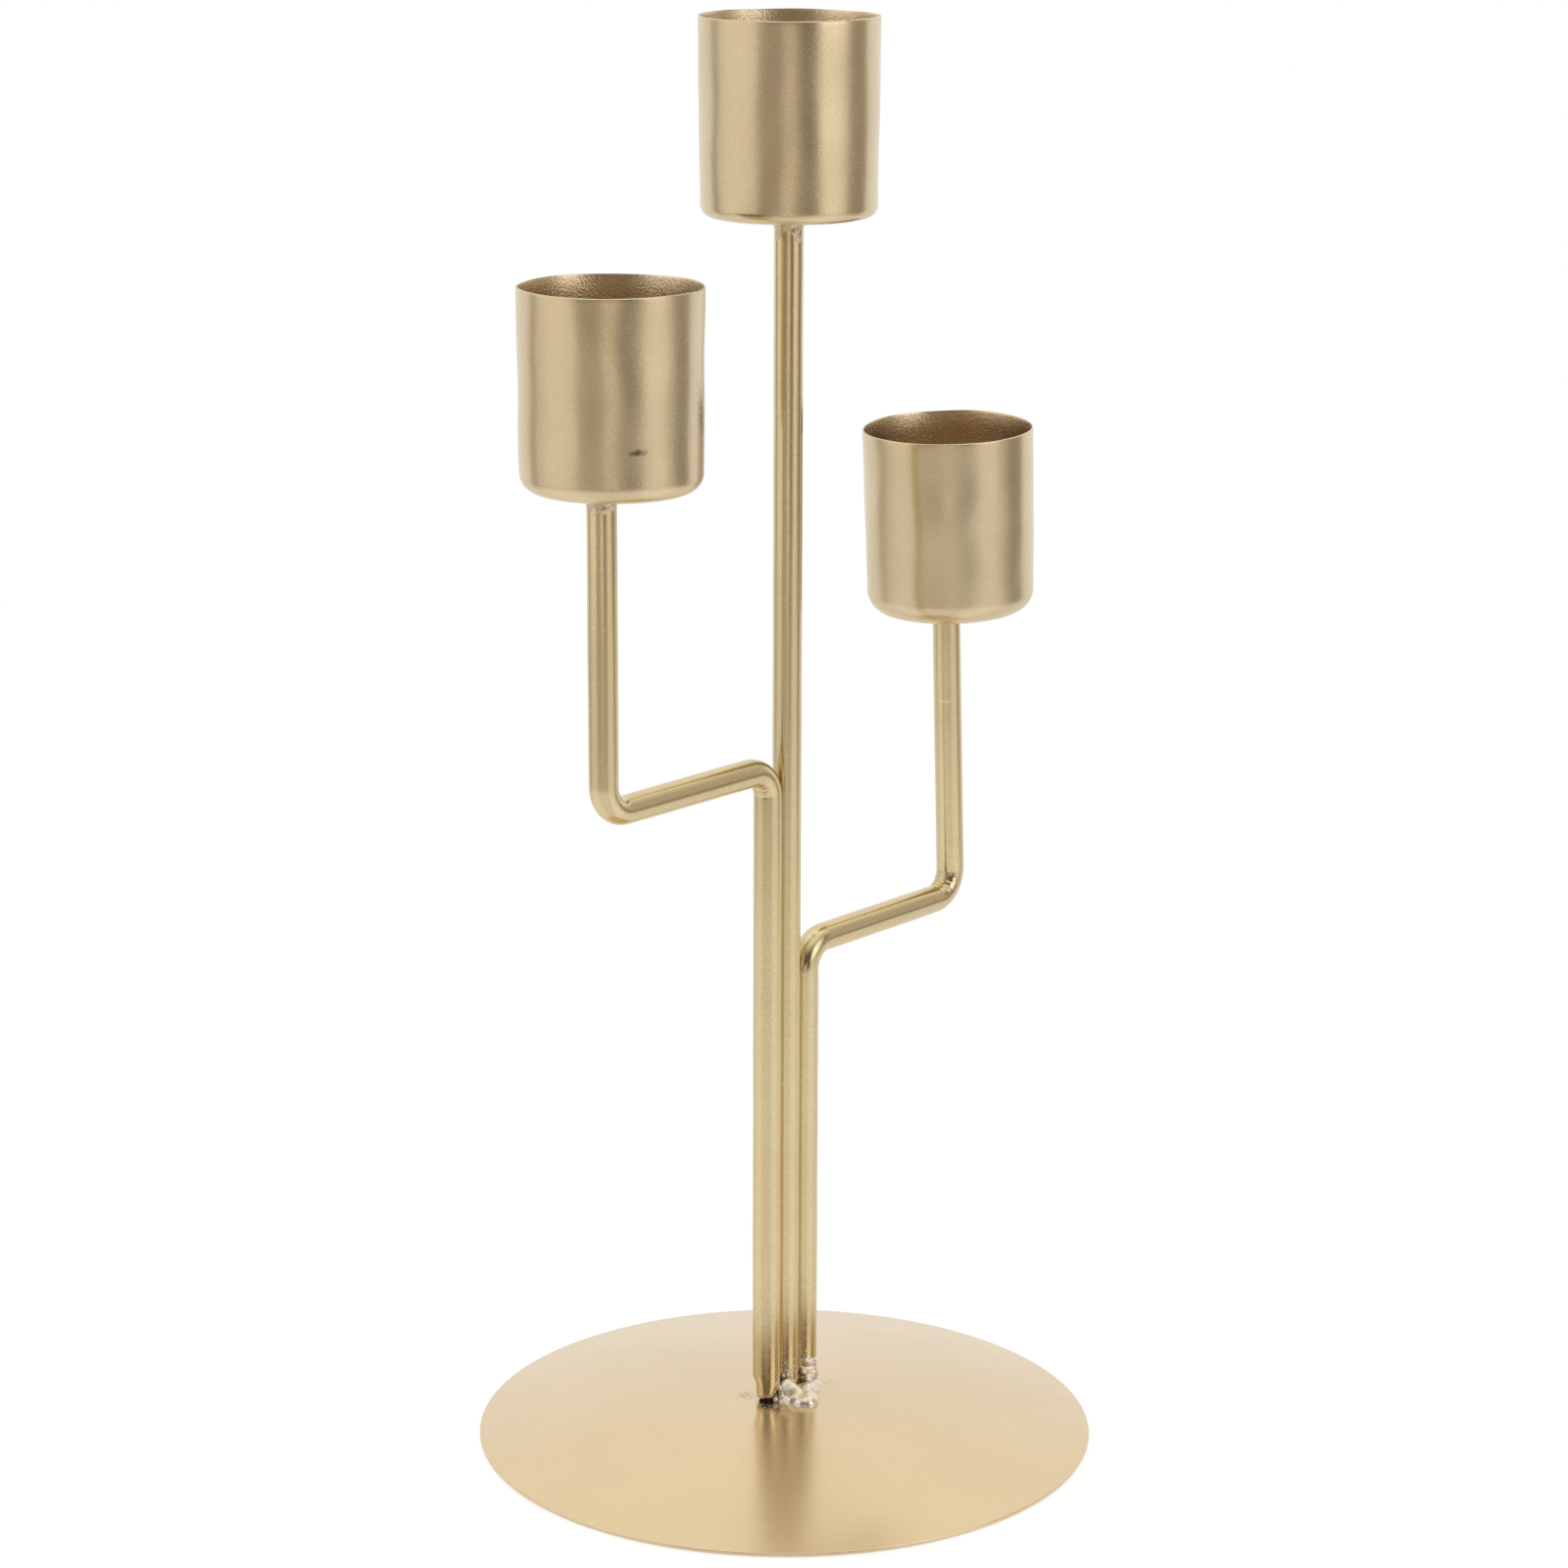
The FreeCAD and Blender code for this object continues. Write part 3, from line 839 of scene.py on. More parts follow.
@dataclass
class RodFrame:
    """The three rods that stand side by side on the plate: a straight stem and two bent arms."""

    finish: MetallicPaint
    camera: "PhotoCamera"
    bend: float = 0.004
    left_arm_height: float = 0.0992
    right_arm_height: float = 0.0722
    right_reach: float = 0.0375
    right_lean: float = 2.6
    pinch_depth: float = 0.0005
    outer_pinch: Pair = (0.0018, 0.0030)
    inner_pinch: Pair = (0.0003, 0.0017)
    seeds: tuple[int, int, int] = (11, 12, 13)

    def __post_init__(self) -> None:
        """Take the rods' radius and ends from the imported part."""
        low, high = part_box("centre_stem")
        self.radius = (high.x - low.x) / 2.0
        self.stem_ends = (low.z, high.z)

    def rods(self) -> dict[str, BentRod]:
        """The middle lines of the three rods.

        Returns:
            Each rod, by the name of its CAD node.
        """
        left_low, left_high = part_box("left_arm")
        right_low, right_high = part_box("right_arm")
        left_foot = left_high.x - self.radius
        left_out = left_low.x + self.radius
        right_foot = right_low.x + self.radius
        climb = right_high.z - self.right_arm_height
        right_top = self.right_reach - climb * math.tan(math.radians(self.right_lean))
        stem = tuple((0.0, level) for level in self.stem_ends)
        left = (
            (left_foot, left_low.z),
            (left_foot, self.left_arm_height),
            (left_out, self.left_arm_height),
            (left_out, left_high.z),
        )
        right = (
            (right_foot, right_low.z),
            (right_foot, self.right_arm_height),
            (self.right_reach, self.right_arm_height),
            (right_top, right_high.z),
        )
        pinches = (
            Pinch(tuple(-self.camera.right), self.pinch_depth, *self.outer_pinch),
            Pinch(tuple(self.camera.right), self.pinch_depth, *self.inner_pinch),
        )
        stem_seed, left_seed, right_seed = self.seeds
        return {
            "centre_stem": BentRod(stem, self.radius, self.bend, stem_seed),
            "left_arm": BentRod(left, self.radius, self.bend, left_seed, pinches, crease_bend=0),
            "right_arm": BentRod(right, self.radius, self.bend, right_seed, crease_bend=1),
        }

    def build(self) -> None:
        """Make the three rods."""
        paint = self.finish.material()
        for name, rod in self.rods().items():
            build_piece(f"{name}_rod", [rod.skin()], paint, (name,))


@dataclass
class CandleCup:
    """A cup drawn from thin sheet, with a rounded foot corner and a thin lip that opens a little inside."""

    name: str
    seed: int
    height: float = 0.0266
    wall: float = 0.0004
    lip_round: float = 0.00020
    lip_ease: float = 0.00004
    lip_flare: float = 0.00016
    flare_depth: float = 0.0026
    inner_corner: float = 0.0018
    draft: float = 0.00022
    unevenness: float = 0.00005
    wave_length: float = 0.012
    wave_reach: Pair = (0.006, 0.011)
    lip_waves: float = 0.00005
    lip_wave_length: float = 0.014
    lip_wave_from: float = 0.02
    lip_seed_step: int = 50
    pole: float = 0.0004
    columns: int = 192
    foot_rows: int = 16
    corner_rows: int = 28
    outside_rows: int = 60
    lip_rows: int = 12
    ease_rows: int = 5
    inside_rows: int = 100
    inner_corner_rows: int = 18
    floor_rows: int = 14

    def __post_init__(self) -> None:
        """Take the cup's bore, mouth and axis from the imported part's mount."""
        mounts = {mount["name"]: mount for mount in frame["record"]["mounts"]}
        mount = mounts[f"{self.name}_candle_cup"]
        self.mouth = np.array(mount["pos_m"])
        self.axis = np.array(mount["axis"])
        self.bore = mount["dims"]["r_mm"] / MILLIMETRES
        self.foot = self.mouth - self.axis * self.height

    def profile(self) -> np.ndarray:
        """The section from the middle of the foot, up the outside, over the lip and down inside.

        The inside opens towards the lip by lip_flare t^2, with t from 0 at flare_depth below it to 1.

        Returns:
            Rows of radius and height above the foot.
        """
        outside = self.bore + self.wall
        corner = self.inner_corner + self.wall
        lip, ease = self.lip_round, self.lip_ease
        mouth = self.bore + self.lip_flare
        inset = self.bore - self.inner_corner
        top = self.height - ease
        inside = run((self.bore, top), (self.bore, corner), self.inside_rows)[1:-1]
        opened = np.clip(1.0 - (top - inside[:, 1]) / self.flare_depth, 0.0, 1.0)
        inside[:, 0] += self.lip_flare * opened**2
        return np.concatenate(
            [
                run((self.pole, 0.0), (outside - corner, 0.0), self.foot_rows)[:-1],
                arc((outside - corner, corner), corner, -RIGHT_ANGLE, 0.0, self.corner_rows),
                run((outside, corner), (outside, self.height - lip), self.outside_rows)[1:-1],
                arc((outside - lip, self.height - lip), lip, 0.0, RIGHT_ANGLE, self.lip_rows),
                arc((mouth + ease, top), ease, RIGHT_ANGLE, 2.0 * RIGHT_ANGLE, self.ease_rows)[1:],
                inside,
                arc((inset, corner), self.inner_corner, 0.0, -RIGHT_ANGLE, self.inner_corner_rows),
                run((inset, self.wall), (self.pole, self.wall), self.floor_rows)[1:],
            ]
        )

    def skin(self) -> Skin:
        """Turn the profile, make it slightly uneven as drawn sheet is, and stand it on its axis.

        The radius gains a slow ripple, and the lip a low wave in height that dies out below it.

        Returns:
            The cup's surface.
        """
        rings = lathe(self.profile(), self.columns)
        reach = np.linalg.norm(rings[..., :2], axis=-1)
        rough = self.unevenness * ripple(rings, self.wave_length, self.seed)
        rough = rough - self.draft * (1.0 - rings[..., 2] / self.height)
        rings[..., :2] *= (1.0 + rough / reach * fade(reach, *self.wave_reach))[..., None]
        level = rings * np.array([1.0, 1.0, 0.0])
        wave = ripple(level, self.lip_wave_length, self.seed + self.lip_seed_step)
        rings[..., 2] += self.lip_waves * wave * fade(rings[..., 2], self.lip_wave_from, self.height)
        return Skin(
            self.foot + rings @ upright(self.axis),
            self.foot,
            self.foot + self.axis * self.wall,
            girth=FULL_TURN * self.bore,
        )


@dataclass(frozen=True)
class Lump:
    """A swelling of weld on a rod, in millimetres and degrees.

    The bearing counts from the photographed side, and the level runs along the rod.
    """

    bearing: float
    level: float
    swell: float
    width: float


def smooth_most(values: np.ndarray, blend: float) -> np.ndarray:
    """The largest of several fields along the first axis, rounded: k log(sum exp(v / k) - n + 1)."""
    return blend * np.log(np.exp(values / blend).sum(axis=0) - len(values) + 1.0)


@dataclass
class WeldCollar:
    """Weld metal on a rod's surface, in millimetres: a radius that changes with bearing and level.

    The foot is the point that levels count from, in metres.
    """

    foot: np.ndarray
    axis: np.ndarray
    rod_radius: float
    front: float
    levels: Pair
    lumps: tuple[Lump, ...]
    seed: int
    flare: float = 0.0
    root: float = 0.10
    grit: float = 0.022
    grit_size: float = 0.24
    grit_full: float = 0.2
    blend: float = 0.12
    rows: int = 150
    columns: int = 260

    def skin(self) -> Skin:
        """A tube about the rod: radius - root + the rounded largest of flare t^3 and the lumps.

        The value t runs from 0 below to 1 at the top. Each lump is a bell in bearing times a bell in level.
        Where nothing swells, the tube lies just under the rod's own surface.

        Returns:
            The weld's surface, in metres.
        """
        level = np.linspace(*self.levels, self.rows)[:, None]
        angle = round_angles(self.columns)
        share = (level - self.levels[0]) / (self.levels[1] - self.levels[0])
        swells = [self.flare * share**3 * np.ones_like(angle)]
        for lump in self.lumps:
            turn = np.angle(np.exp(1j * (angle - self.front - math.radians(lump.bearing))))
            across = bell(turn * self.rod_radius, lump.width)
            swells.append(lump.swell * across * bell(level - lump.level, lump.width))
        swell = smooth_most(np.stack(swells), self.blend)
        ring = np.stack([np.cos(angle), np.sin(angle)], axis=-1)
        radius = self.rod_radius - self.root + swell
        flat = radius[..., None] * ring
        rings = np.concatenate([flat, np.broadcast_to(level[..., None], (*radius.shape, 1))], axis=-1)
        rough = self.grit * fade(swell, 0.0, self.grit_full) * ripple(rings, self.grit_size, self.seed)
        rings[..., :2] += rough[..., None] * ring
        placed = self.foot + rings @ upright(self.axis) / MILLIMETRES
        return Skin(placed, placed[0].mean(axis=0), placed[-1].mean(axis=0))


@dataclass
class CupSet:
    """The three candle cups and the weld collars that hold them on their rods."""

    paint: MetallicPaint
    weld: MetallicPaint
    rods: RodFrame
    corners: tuple[tuple[str, float], ...] = (("centre", 0.00115), ("left", 0.0019), ("right", 0.0026))
    collar_levels: Pair = (-4.0, 0.1)
    collar_flare: float = 0.55
    cup_seed: int = 21
    collar_seed: int = 31

    def build(self) -> None:
        """Make each cup and its weld."""
        paint = self.paint.material()
        weld_paint = self.weld.material()
        for number, (name, corner) in enumerate(self.corners):
            cup = CandleCup(name, self.cup_seed + number, inner_corner=corner)
            low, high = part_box(f"{name}_cup_weld")
            collar = WeldCollar(
                foot=np.array([(low.x + high.x) / 2.0, 0.0, cup.foot[2]]),
                axis=cup.axis,
                rod_radius=self.rods.radius * MILLIMETRES,
                front=self.rods.camera.front_angle,
                levels=self.collar_levels,
                lumps=CUP_LUMPS[name],
                seed=self.collar_seed + number,
                flare=self.collar_flare,
            )
            build_piece(f"{name}_cup_shell", [cup.skin()], paint, (f"{name}_cup",))
            weld = (f"{name}_cup_weld",)
            build_piece(f"{name}_cup_collar", [collar.skin()], weld_paint, weld)


CUP_LUMPS = {
    "centre": (
        Lump(12.0, -0.7, 0.50, 0.55),
        Lump(26.0, -1.9, 0.45, 0.50),
        Lump(-34.0, -1.2, 0.24, 0.90),
        Lump(-55.0, -2.6, 0.20, 0.80),
        Lump(40.0, -3.0, 0.22, 0.60),
        Lump(150.0, -0.8, 0.45, 0.90),
    ),
    "left": (
        Lump(30.0, -0.6, 0.55, 0.60),
        Lump(48.0, -1.5, 0.35, 0.50),
        Lump(14.0, -2.0, 0.28, 0.50),
        Lump(-25.0, -1.6, 0.20, 0.90),
        Lump(-140.0, -0.9, 0.45, 0.90),
    ),
    "right": (
        Lump(20.0, -0.4, 0.60, 0.45),
        Lump(16.0, -1.3, 0.25, 0.35),
        Lump(160.0, -0.8, 0.45, 0.90),
    ),
}


@dataclass(frozen=True)
class Spot:
    """A round place on the plate, in millimetres: its middle and half-width."""

    middle: Pair
    reach: float

    def offset(self, x: np.ndarray, y: np.ndarray) -> np.ndarray:
        """The distance of each point from the middle, in half-widths."""
        return np.hypot(x - self.middle[0], y - self.middle[1]) / self.reach


@dataclass(frozen=True)
class Cap(Spot):
    """A rounded lump of weld, up to a top level."""

    top: float


@dataclass(frozen=True)
class Dent(Spot):
    """A shallow hollow in weld."""

    depth: float


@dataclass(frozen=True)
class Patch:
    """A round patch of the plate that weld has run over, in millimetres, with its lumps and hollows."""

    middle: Pair
    spread: float
    seed: int
    caps: tuple[Cap, ...]
    dents: tuple[Dent, ...] = ()


@dataclass
class WeldPuddle:
    """Weld metal that has run over the plate: a height that changes over a round patch, in millimetres."""

    plate: BasePlate
    patch: Patch
    foot: float = 5.30
    roundness: float = 0.55
    blend: float = 0.25
    ripples: float = 0.015
    ripple_size: float = 1.4
    ripple_full: float = 0.4
    sunk: float = 0.12
    depth: float = 0.5
    pole: float = 0.02
    rows: int = 130
    columns: int = 280

    def skin(self) -> Skin:
        """A patch of rings about the middle, raised where the caps melt into one dome.

        Each cap has the share 1 - q, with q the square of the distance from its middle in half-widths. The
        height is foot + (top - foot) s^roundness, where s is the rounded maximum of the shares and top the
        caps' mean top, weighted by exp(share / blend). Dents are taken off as bells. Elsewhere the patch
        lies just under the plate.

        Returns:
            The puddle's surface, in metres.
        """
        patch = self.patch
        reach = np.linspace(patch.spread, self.pole, self.rows)[:, None]
        angle = round_angles(self.columns)
        x = patch.middle[0] + reach * np.cos(angle)
        y = patch.middle[1] + reach * np.sin(angle)
        ground = self.plate.height(np.hypot(x, y) / MILLIMETRES) * MILLIMETRES - self.sunk
        flat = np.stack([x, y, np.zeros_like(x)], axis=-1)
        offsets = np.stack([cap.offset(x, y) for cap in patch.caps])
        shares = np.clip(1.0 - offsets**2, 0.0, None)
        weights = np.exp(shares / self.blend)
        tops = np.array([cap.top for cap in patch.caps])
        top = np.tensordot(tops, weights, axes=1) / weights.sum(axis=0)
        dome = smooth_most(shares, self.blend) ** self.roundness
        rise = self.foot + (top - self.foot) * dome - ground
        for dent in patch.dents:
            rise = rise - dent.depth * bell(dent.offset(x, y), 1.0)
        uneven = self.ripples * fade(rise, 0.0, self.ripple_full)
        rise = rise + uneven * ripple(flat, self.ripple_size, patch.seed)
        over = np.stack([x, y, ground + np.clip(rise, 0.0, None)], axis=-1)
        under = np.stack([x[:1], y[:1], ground[:1] - self.depth], axis=-1)
        rings = np.concatenate([under, over]) / MILLIMETRES
        return Skin(rings, rings[0].mean(axis=0), rings[-1].mean(axis=0))


@dataclass
class FootWelds:
    """The welds at the rods' feet: a puddle in front, a nugget beside the right rod, a bead behind."""

    finish: MetallicPaint
    gap_shade_finish: BurntScaleAndShade
    plate: BasePlate
    rods: RodFrame
    front: Patch = Patch(
        middle=(-1.2, -3.2),
        spread=4.8,
        seed=41,
        caps=(
            Cap((-1.85, -2.05), 1.90, 8.70),
            Cap((-1.65, -3.20), 2.00, 7.70),
            Cap((-1.09, -4.74), 2.10, 7.00),
            Cap((1.03, -3.06), 1.80, 7.30),
        ),
        dents=(Dent((-2.60, -3.00), 0.75, 0.55),),
    )
    rear: Patch = Patch(
        middle=(0.6, 2.3),
        spread=4.8,
        seed=44,
        caps=(
            Cap((-0.20, 2.70), 2.00, 6.60),
            Cap((1.60, 2.60), 2.00, 6.70),
            Cap((-1.60, 2.30), 1.20, 6.45),
            Cap((2.90, 2.40), 1.20, 6.80),
            Cap((0.60, 2.00), 1.10, 7.45),
        ),
    )
    # Painted shade: a low patch under the left rod, finished nearly black, so that the gap under its foot
    # shows dark.
    gap_shade_patch: Patch = Patch(
        middle=(-3.3, 0.2),
        spread=3.2,
        seed=42,
        caps=(Cap((-4.55, -0.40), 1.05, 6.60), Cap((-2.10, 0.30), 1.40, 6.60)),
    )
    skirt: Patch = Patch(
        middle=(3.25, -1.96),
        spread=2.4,
        seed=45,
        caps=(Cap((3.25, -1.96), 2.00, 6.20),),
    )
    nugget: tuple[Lump, ...] = (
        Lump(21.0, 9.50, 0.85, 0.60),
        Lump(60.0, 9.20, 0.35, 0.60),
        Lump(6.0, 8.10, 0.85, 0.55),
        Lump(20.0, 6.90, 1.05, 0.60),
        Lump(32.0, 5.90, 1.50, 0.65),
        Lump(58.0, 7.60, 0.60, 1.30),
        Lump(50.0, 5.60, 1.60, 1.00),
    )
    nugget_levels: Pair = (5.2, 10.8)
    nugget_seed: int = 43
    nugget_grit: float = 0.04
    nugget_grit_size: float = 0.8
    nugget_blend: float = 0.18

    def build(self) -> None:
        """Make the three welds, and a nearly black patch of painted shade in the gap under the left rod."""
        paint = self.finish.material()
        patches = (self.front, self.skirt, self.rear, self.gap_shade_patch)
        front, skirt, rear, gap_shade_patch = (WeldPuddle(self.plate, patch).skin() for patch in patches)
        foot = self.rods.rods()["right_arm"].corners[0][0]
        nugget = WeldCollar(
            foot=np.array([foot, 0.0, 0.0]),
            axis=np.array(UP),
            rod_radius=self.rods.radius * MILLIMETRES,
            front=self.rods.camera.front_angle,
            levels=self.nugget_levels,
            lumps=self.nugget,
            seed=self.nugget_seed,
            grit=self.nugget_grit,
            grit_size=self.nugget_grit_size,
            blend=self.nugget_blend,
        )
        build_piece("front_foot_puddle", [front], paint, ("foot_weld_front",))
        build_piece("side_foot_nugget", [nugget.skin(), skirt], paint, ("foot_weld_side",))
        build_piece("rear_foot_bead", [rear], paint, ("foot_weld_rear",))
        build_piece("left_foot_painted_shade", [gap_shade_patch], self.gap_shade_finish.material(), ())


@dataclass(frozen=True)
class Splash:
    """One shower of spatter on the plate, in millimetres: its middle, spread, count and largest drop."""

    middle: Pair
    spread: float
    count: int
    largest: float


@dataclass(frozen=True)
class RodSplash:
    """One shower of spatter on a rod, in millimetres, with its bearing from the front in degrees."""

    rod: str
    level: float
    spread: float
    bearing: float
    turn: float
    count: int
    largest: float


@dataclass(frozen=True)
class Shower:
    """All drops of one kind: splashes on the plate and on the rods, and single beads in millimetres."""

    name: str
    seed: int
    on_plate: tuple[Splash, ...]
    on_rods: tuple[RodSplash, ...] = ()
    beads: tuple[tuple[Point, float], ...] = ()


WELD_DROPS = Shower(
    "weld_spatter",
    61,
    on_plate=(
        Splash((-4.7, 3.1), 1.1, 20, 0.14),
        Splash((-5.9, -1.6), 0.8, 16, 0.14),
        Splash((-6.4, -4.2), 0.7, 8, 0.15),
        Splash((6.6, -2.9), 0.8, 12, 0.16),
        Splash((0.0, 5.2), 1.8, 16, 0.18),
    ),
    on_rods=(
        RodSplash("centre_stem", 9.4, 1.1, 12.0, 24.0, 170, 0.18),
        RodSplash("right_arm", 11.2, 0.8, -6.0, 16.0, 50, 0.17),
        RodSplash("left_arm", 9.2, 0.9, 55.0, 16.0, 70, 0.15),
        RodSplash("centre_stem", 8.5, 0.9, 180.0, 30.0, 24, 0.20),
    ),
    beads=(
        ((-3.25, -1.75, 7.50), 0.45),
        ((-4.05, -1.69, 6.00), 0.42),
        ((-3.25, -2.32, 6.30), 0.46),
        ((-1.70, -1.20, 8.75), 0.30),
        ((-1.30, -1.65, 8.85), 0.34),
        ((-0.85, -1.95, 8.70), 0.30),
    ),
)
BURNT_DROPS = Shower(
    "burnt_specks",
    62,
    on_plate=(
        Splash((-5.0, 2.9), 1.0, 22, 0.11),
        Splash((-6.1, -1.4), 0.6, 22, 0.12),
        Splash((6.6, -2.9), 0.7, 12, 0.11),
    ),
)


@dataclass
class WeldSpatter:
    """Tiny drops of weld, or of burnt scale, stuck to the plate and to the feet of the rods."""

    shower: Shower
    finish: MetallicPaint | BurntScaleAndShade
    plate: BasePlate
    rods: RodFrame
    drop_grid: tuple[int, int] = (4, 8)
    bead_grid: tuple[int, int] = (14, 24)
    smallest: float = 0.06
    sunk: float = 0.50
    squash: Pair = (0.55, 1.30)

    def build(self) -> None:
        """Scatter the drops and make them one piece."""
        draw = np.random.default_rng(self.shower.seed)
        places, radii = [], []
        for splash in self.shower.on_plate:
            radius = self._radii(draw, splash)
            flat = draw.normal(splash.middle, splash.spread, (splash.count, 2))
            height = self.plate.height(np.linalg.norm(flat, axis=1) / MILLIMETRES) * MILLIMETRES
            places.append(np.column_stack([flat, height - self.sunk * radius]))
            radii.append(radius)
        feet = {name: rod.corners[0][0] * MILLIMETRES for name, rod in self.rods.rods().items()}
        for splash in self.shower.on_rods:
            radius = self._radii(draw, splash)
            turn = np.radians(draw.normal(splash.bearing, splash.turn, splash.count))
            turn = turn + self.rods.camera.front_angle
            reach = self.rods.radius * MILLIMETRES - self.sunk * radius
            level = draw.normal(splash.level, splash.spread, splash.count)
            places.append(
                np.column_stack([feet[splash.rod] + reach * np.cos(turn), reach * np.sin(turn), level])
            )
            radii.append(radius)
        skins = [
            self._drop(np.array(place), np.full(3, radius), self.bead_grid)
            for place, radius in self.shower.beads
        ]
        sizes = np.concatenate(radii)[:, None]
        sizes = sizes * draw.uniform(*self.squash, (len(sizes), 3))
        skins += [
            self._drop(place, size, self.drop_grid) for place, size in zip(np.concatenate(places), sizes)
        ]
        build_piece(self.shower.name, skins, self.finish.material(), ())

    def _radii(self, draw: np.random.Generator, splash: Splash | RodSplash) -> np.ndarray:
        """A radius for each drop of a splash, in millimetres: most are small."""
        share = draw.uniform(0.0, 1.0, splash.count) ** 2
        return self.smallest + (splash.largest - self.smallest) * share

    def _drop(self, place: np.ndarray, radius: np.ndarray, grid: tuple[int, int]) -> Skin:
        """A small lopsided ball: place + radius (sin t cos a, sin t sin a, -cos t).

        Args:
            place: The ball's middle, in millimetres.
            radius: Its half-widths along X, Y and Z, in millimetres.
            grid: How many rings it has, and how many points each.

        Returns:
            The ball's surface, in metres.
        """
        rows, columns = grid
        tilt = np.linspace(0.0, math.pi, rows + 2)[1:-1, None]
        turn = round_angles(columns)
        ball = np.stack(
            [np.sin(tilt) * np.cos(turn), np.sin(tilt) * np.sin(turn), -np.cos(tilt) * np.ones_like(turn)],
            axis=-1,
        )
        pole = np.array([0.0, 0.0, radius[2]])
        surface = (place + radius * ball, place - pole, place + pole)
        return Skin(*(points / MILLIMETRES for points in surface))


@dataclass(frozen=True)
class PhotoCamera:
    """Where the photograph was taken from, worked out from the part's sizes and its place in the frame."""

    bearing: float = 49.56
    distance: float = 0.560166
    sidestep: float = -0.0034075
    height: float = 0.242137
    tilt: float = 14.605
    pan: float = 0.309
    roll: float = -0.206
    focal_pixels: float = 4249.07
    frame_pixels: float = 1600.0
    sensor_width: float = 36.0

    @property
    def right(self) -> Vector:
        """The level direction to the photograph's right."""
        turn = math.radians(self.bearing)
        return Vector((math.cos(turn), -math.sin(turn), 0.0))

    @property
    def front_angle(self) -> float:
        """The angle about Z, from +X, of the side that faces the photographer."""
        return math.atan2(-self.away.y, -self.away.x)

    @property
    def away(self) -> Vector:
        """The level direction away from the photographer."""
        turn = math.radians(self.bearing)
        return Vector((math.sin(turn), math.cos(turn), 0.0))

    def towards(self, bearing: float) -> Vector:
        """The level direction at a bearing in degrees from the camera's side, positive to the right."""
        turn = math.radians(bearing)
        return self.right * math.sin(turn) - self.away * math.cos(turn)

    def build(self) -> None:
        """Set the camera up: placed from the three distances, then tilted, panned and rolled."""
        data = bpy.data.cameras.new("photo_camera")
        data.sensor_width = self.sensor_width
        data.lens = self.sensor_width * self.focal_pixels / self.frame_pixels
        camera = place_object("photo_camera", data)
        tilt, pan, roll = (math.radians(angle) for angle in (self.tilt, self.pan, self.roll))
        level = self.right * math.sin(pan) + self.away * math.cos(pan)
        forward = level * math.cos(tilt) - Vector((0.0, 0.0, math.sin(tilt)))
        side = self.right * math.cos(pan) - self.away * math.sin(pan)
        down = forward.cross(side)
        across = side * math.cos(roll) + down * math.sin(roll)
        below = down * math.cos(roll) - side * math.sin(roll)
        turn = Matrix((across, -below, -forward)).transposed()
        place = self.right * self.sidestep - self.away * self.distance + Vector((0.0, 0.0, self.height))
        camera.matrix_world = Matrix.Translation(place) @ turn.to_4x4()
        bpy.context.scene.camera = camera


@dataclass(frozen=True)
class Softbox:
    """A soft lamp: its bearing from the camera's side, size, distance and brightness (1 is white)."""

    name: str
    bearing: float
    width: float
    height: float
    middle: float
    brightness: float
    distance: float = 1.1
    tint: Colour = WHITE
    lift: float = 0.0
    # How strongly this lamp's pool of light is painted on the table top, as seen in reflections.
    pool: float = 0.0

    def build(self, camera: PhotoCamera) -> None:
        """Hang the lamp at its bearing and lift, facing the middle of the object.

        Args:
            camera: The camera that the bearing is counted from, positive to the right.
        """
        lift = math.radians(self.lift)
        place = camera.towards(self.bearing) * math.cos(lift) + Vector((0.0, 0.0, math.sin(lift)))
        place *= self.distance
        data = bpy.data.lights.new(self.name, "AREA")
        data.shape = "RECTANGLE"
        data.size = self.width
        data.size_y = self.height
        data.energy = math.pi * self.width * self.height * self.brightness
        data.color = self.tint
        lamp = place_object(self.name, data)
        lamp.location = place + Vector((0.0, 0.0, self.middle))
        lamp.rotation_euler = (-place).to_track_quat("-Z", "Y").to_euler()
        lamp.visible_camera = False


@dataclass(frozen=True)
class Wall:
    """One side of the room: its colours from low to high, and the two heights between which each begins.

    A height is the Z of a direction of length 1.
    """

    colours: tuple[Colour, ...]
    edges: tuple[Pair, ...]

    def colour(self, tree: ShaderTree, rise: Socket) -> Socket | Colour:
        """The wall's colour at a height.

        Args:
            tree: The world's tree.
            rise: The height.

        Returns:
            The colour.
        """
        mixed = self.colours[0]
        for (low, high), colour in zip(self.edges, self.colours[1:]):
            mixed = tree.mix(rise.step(low, high), mixed, colour)
        return mixed


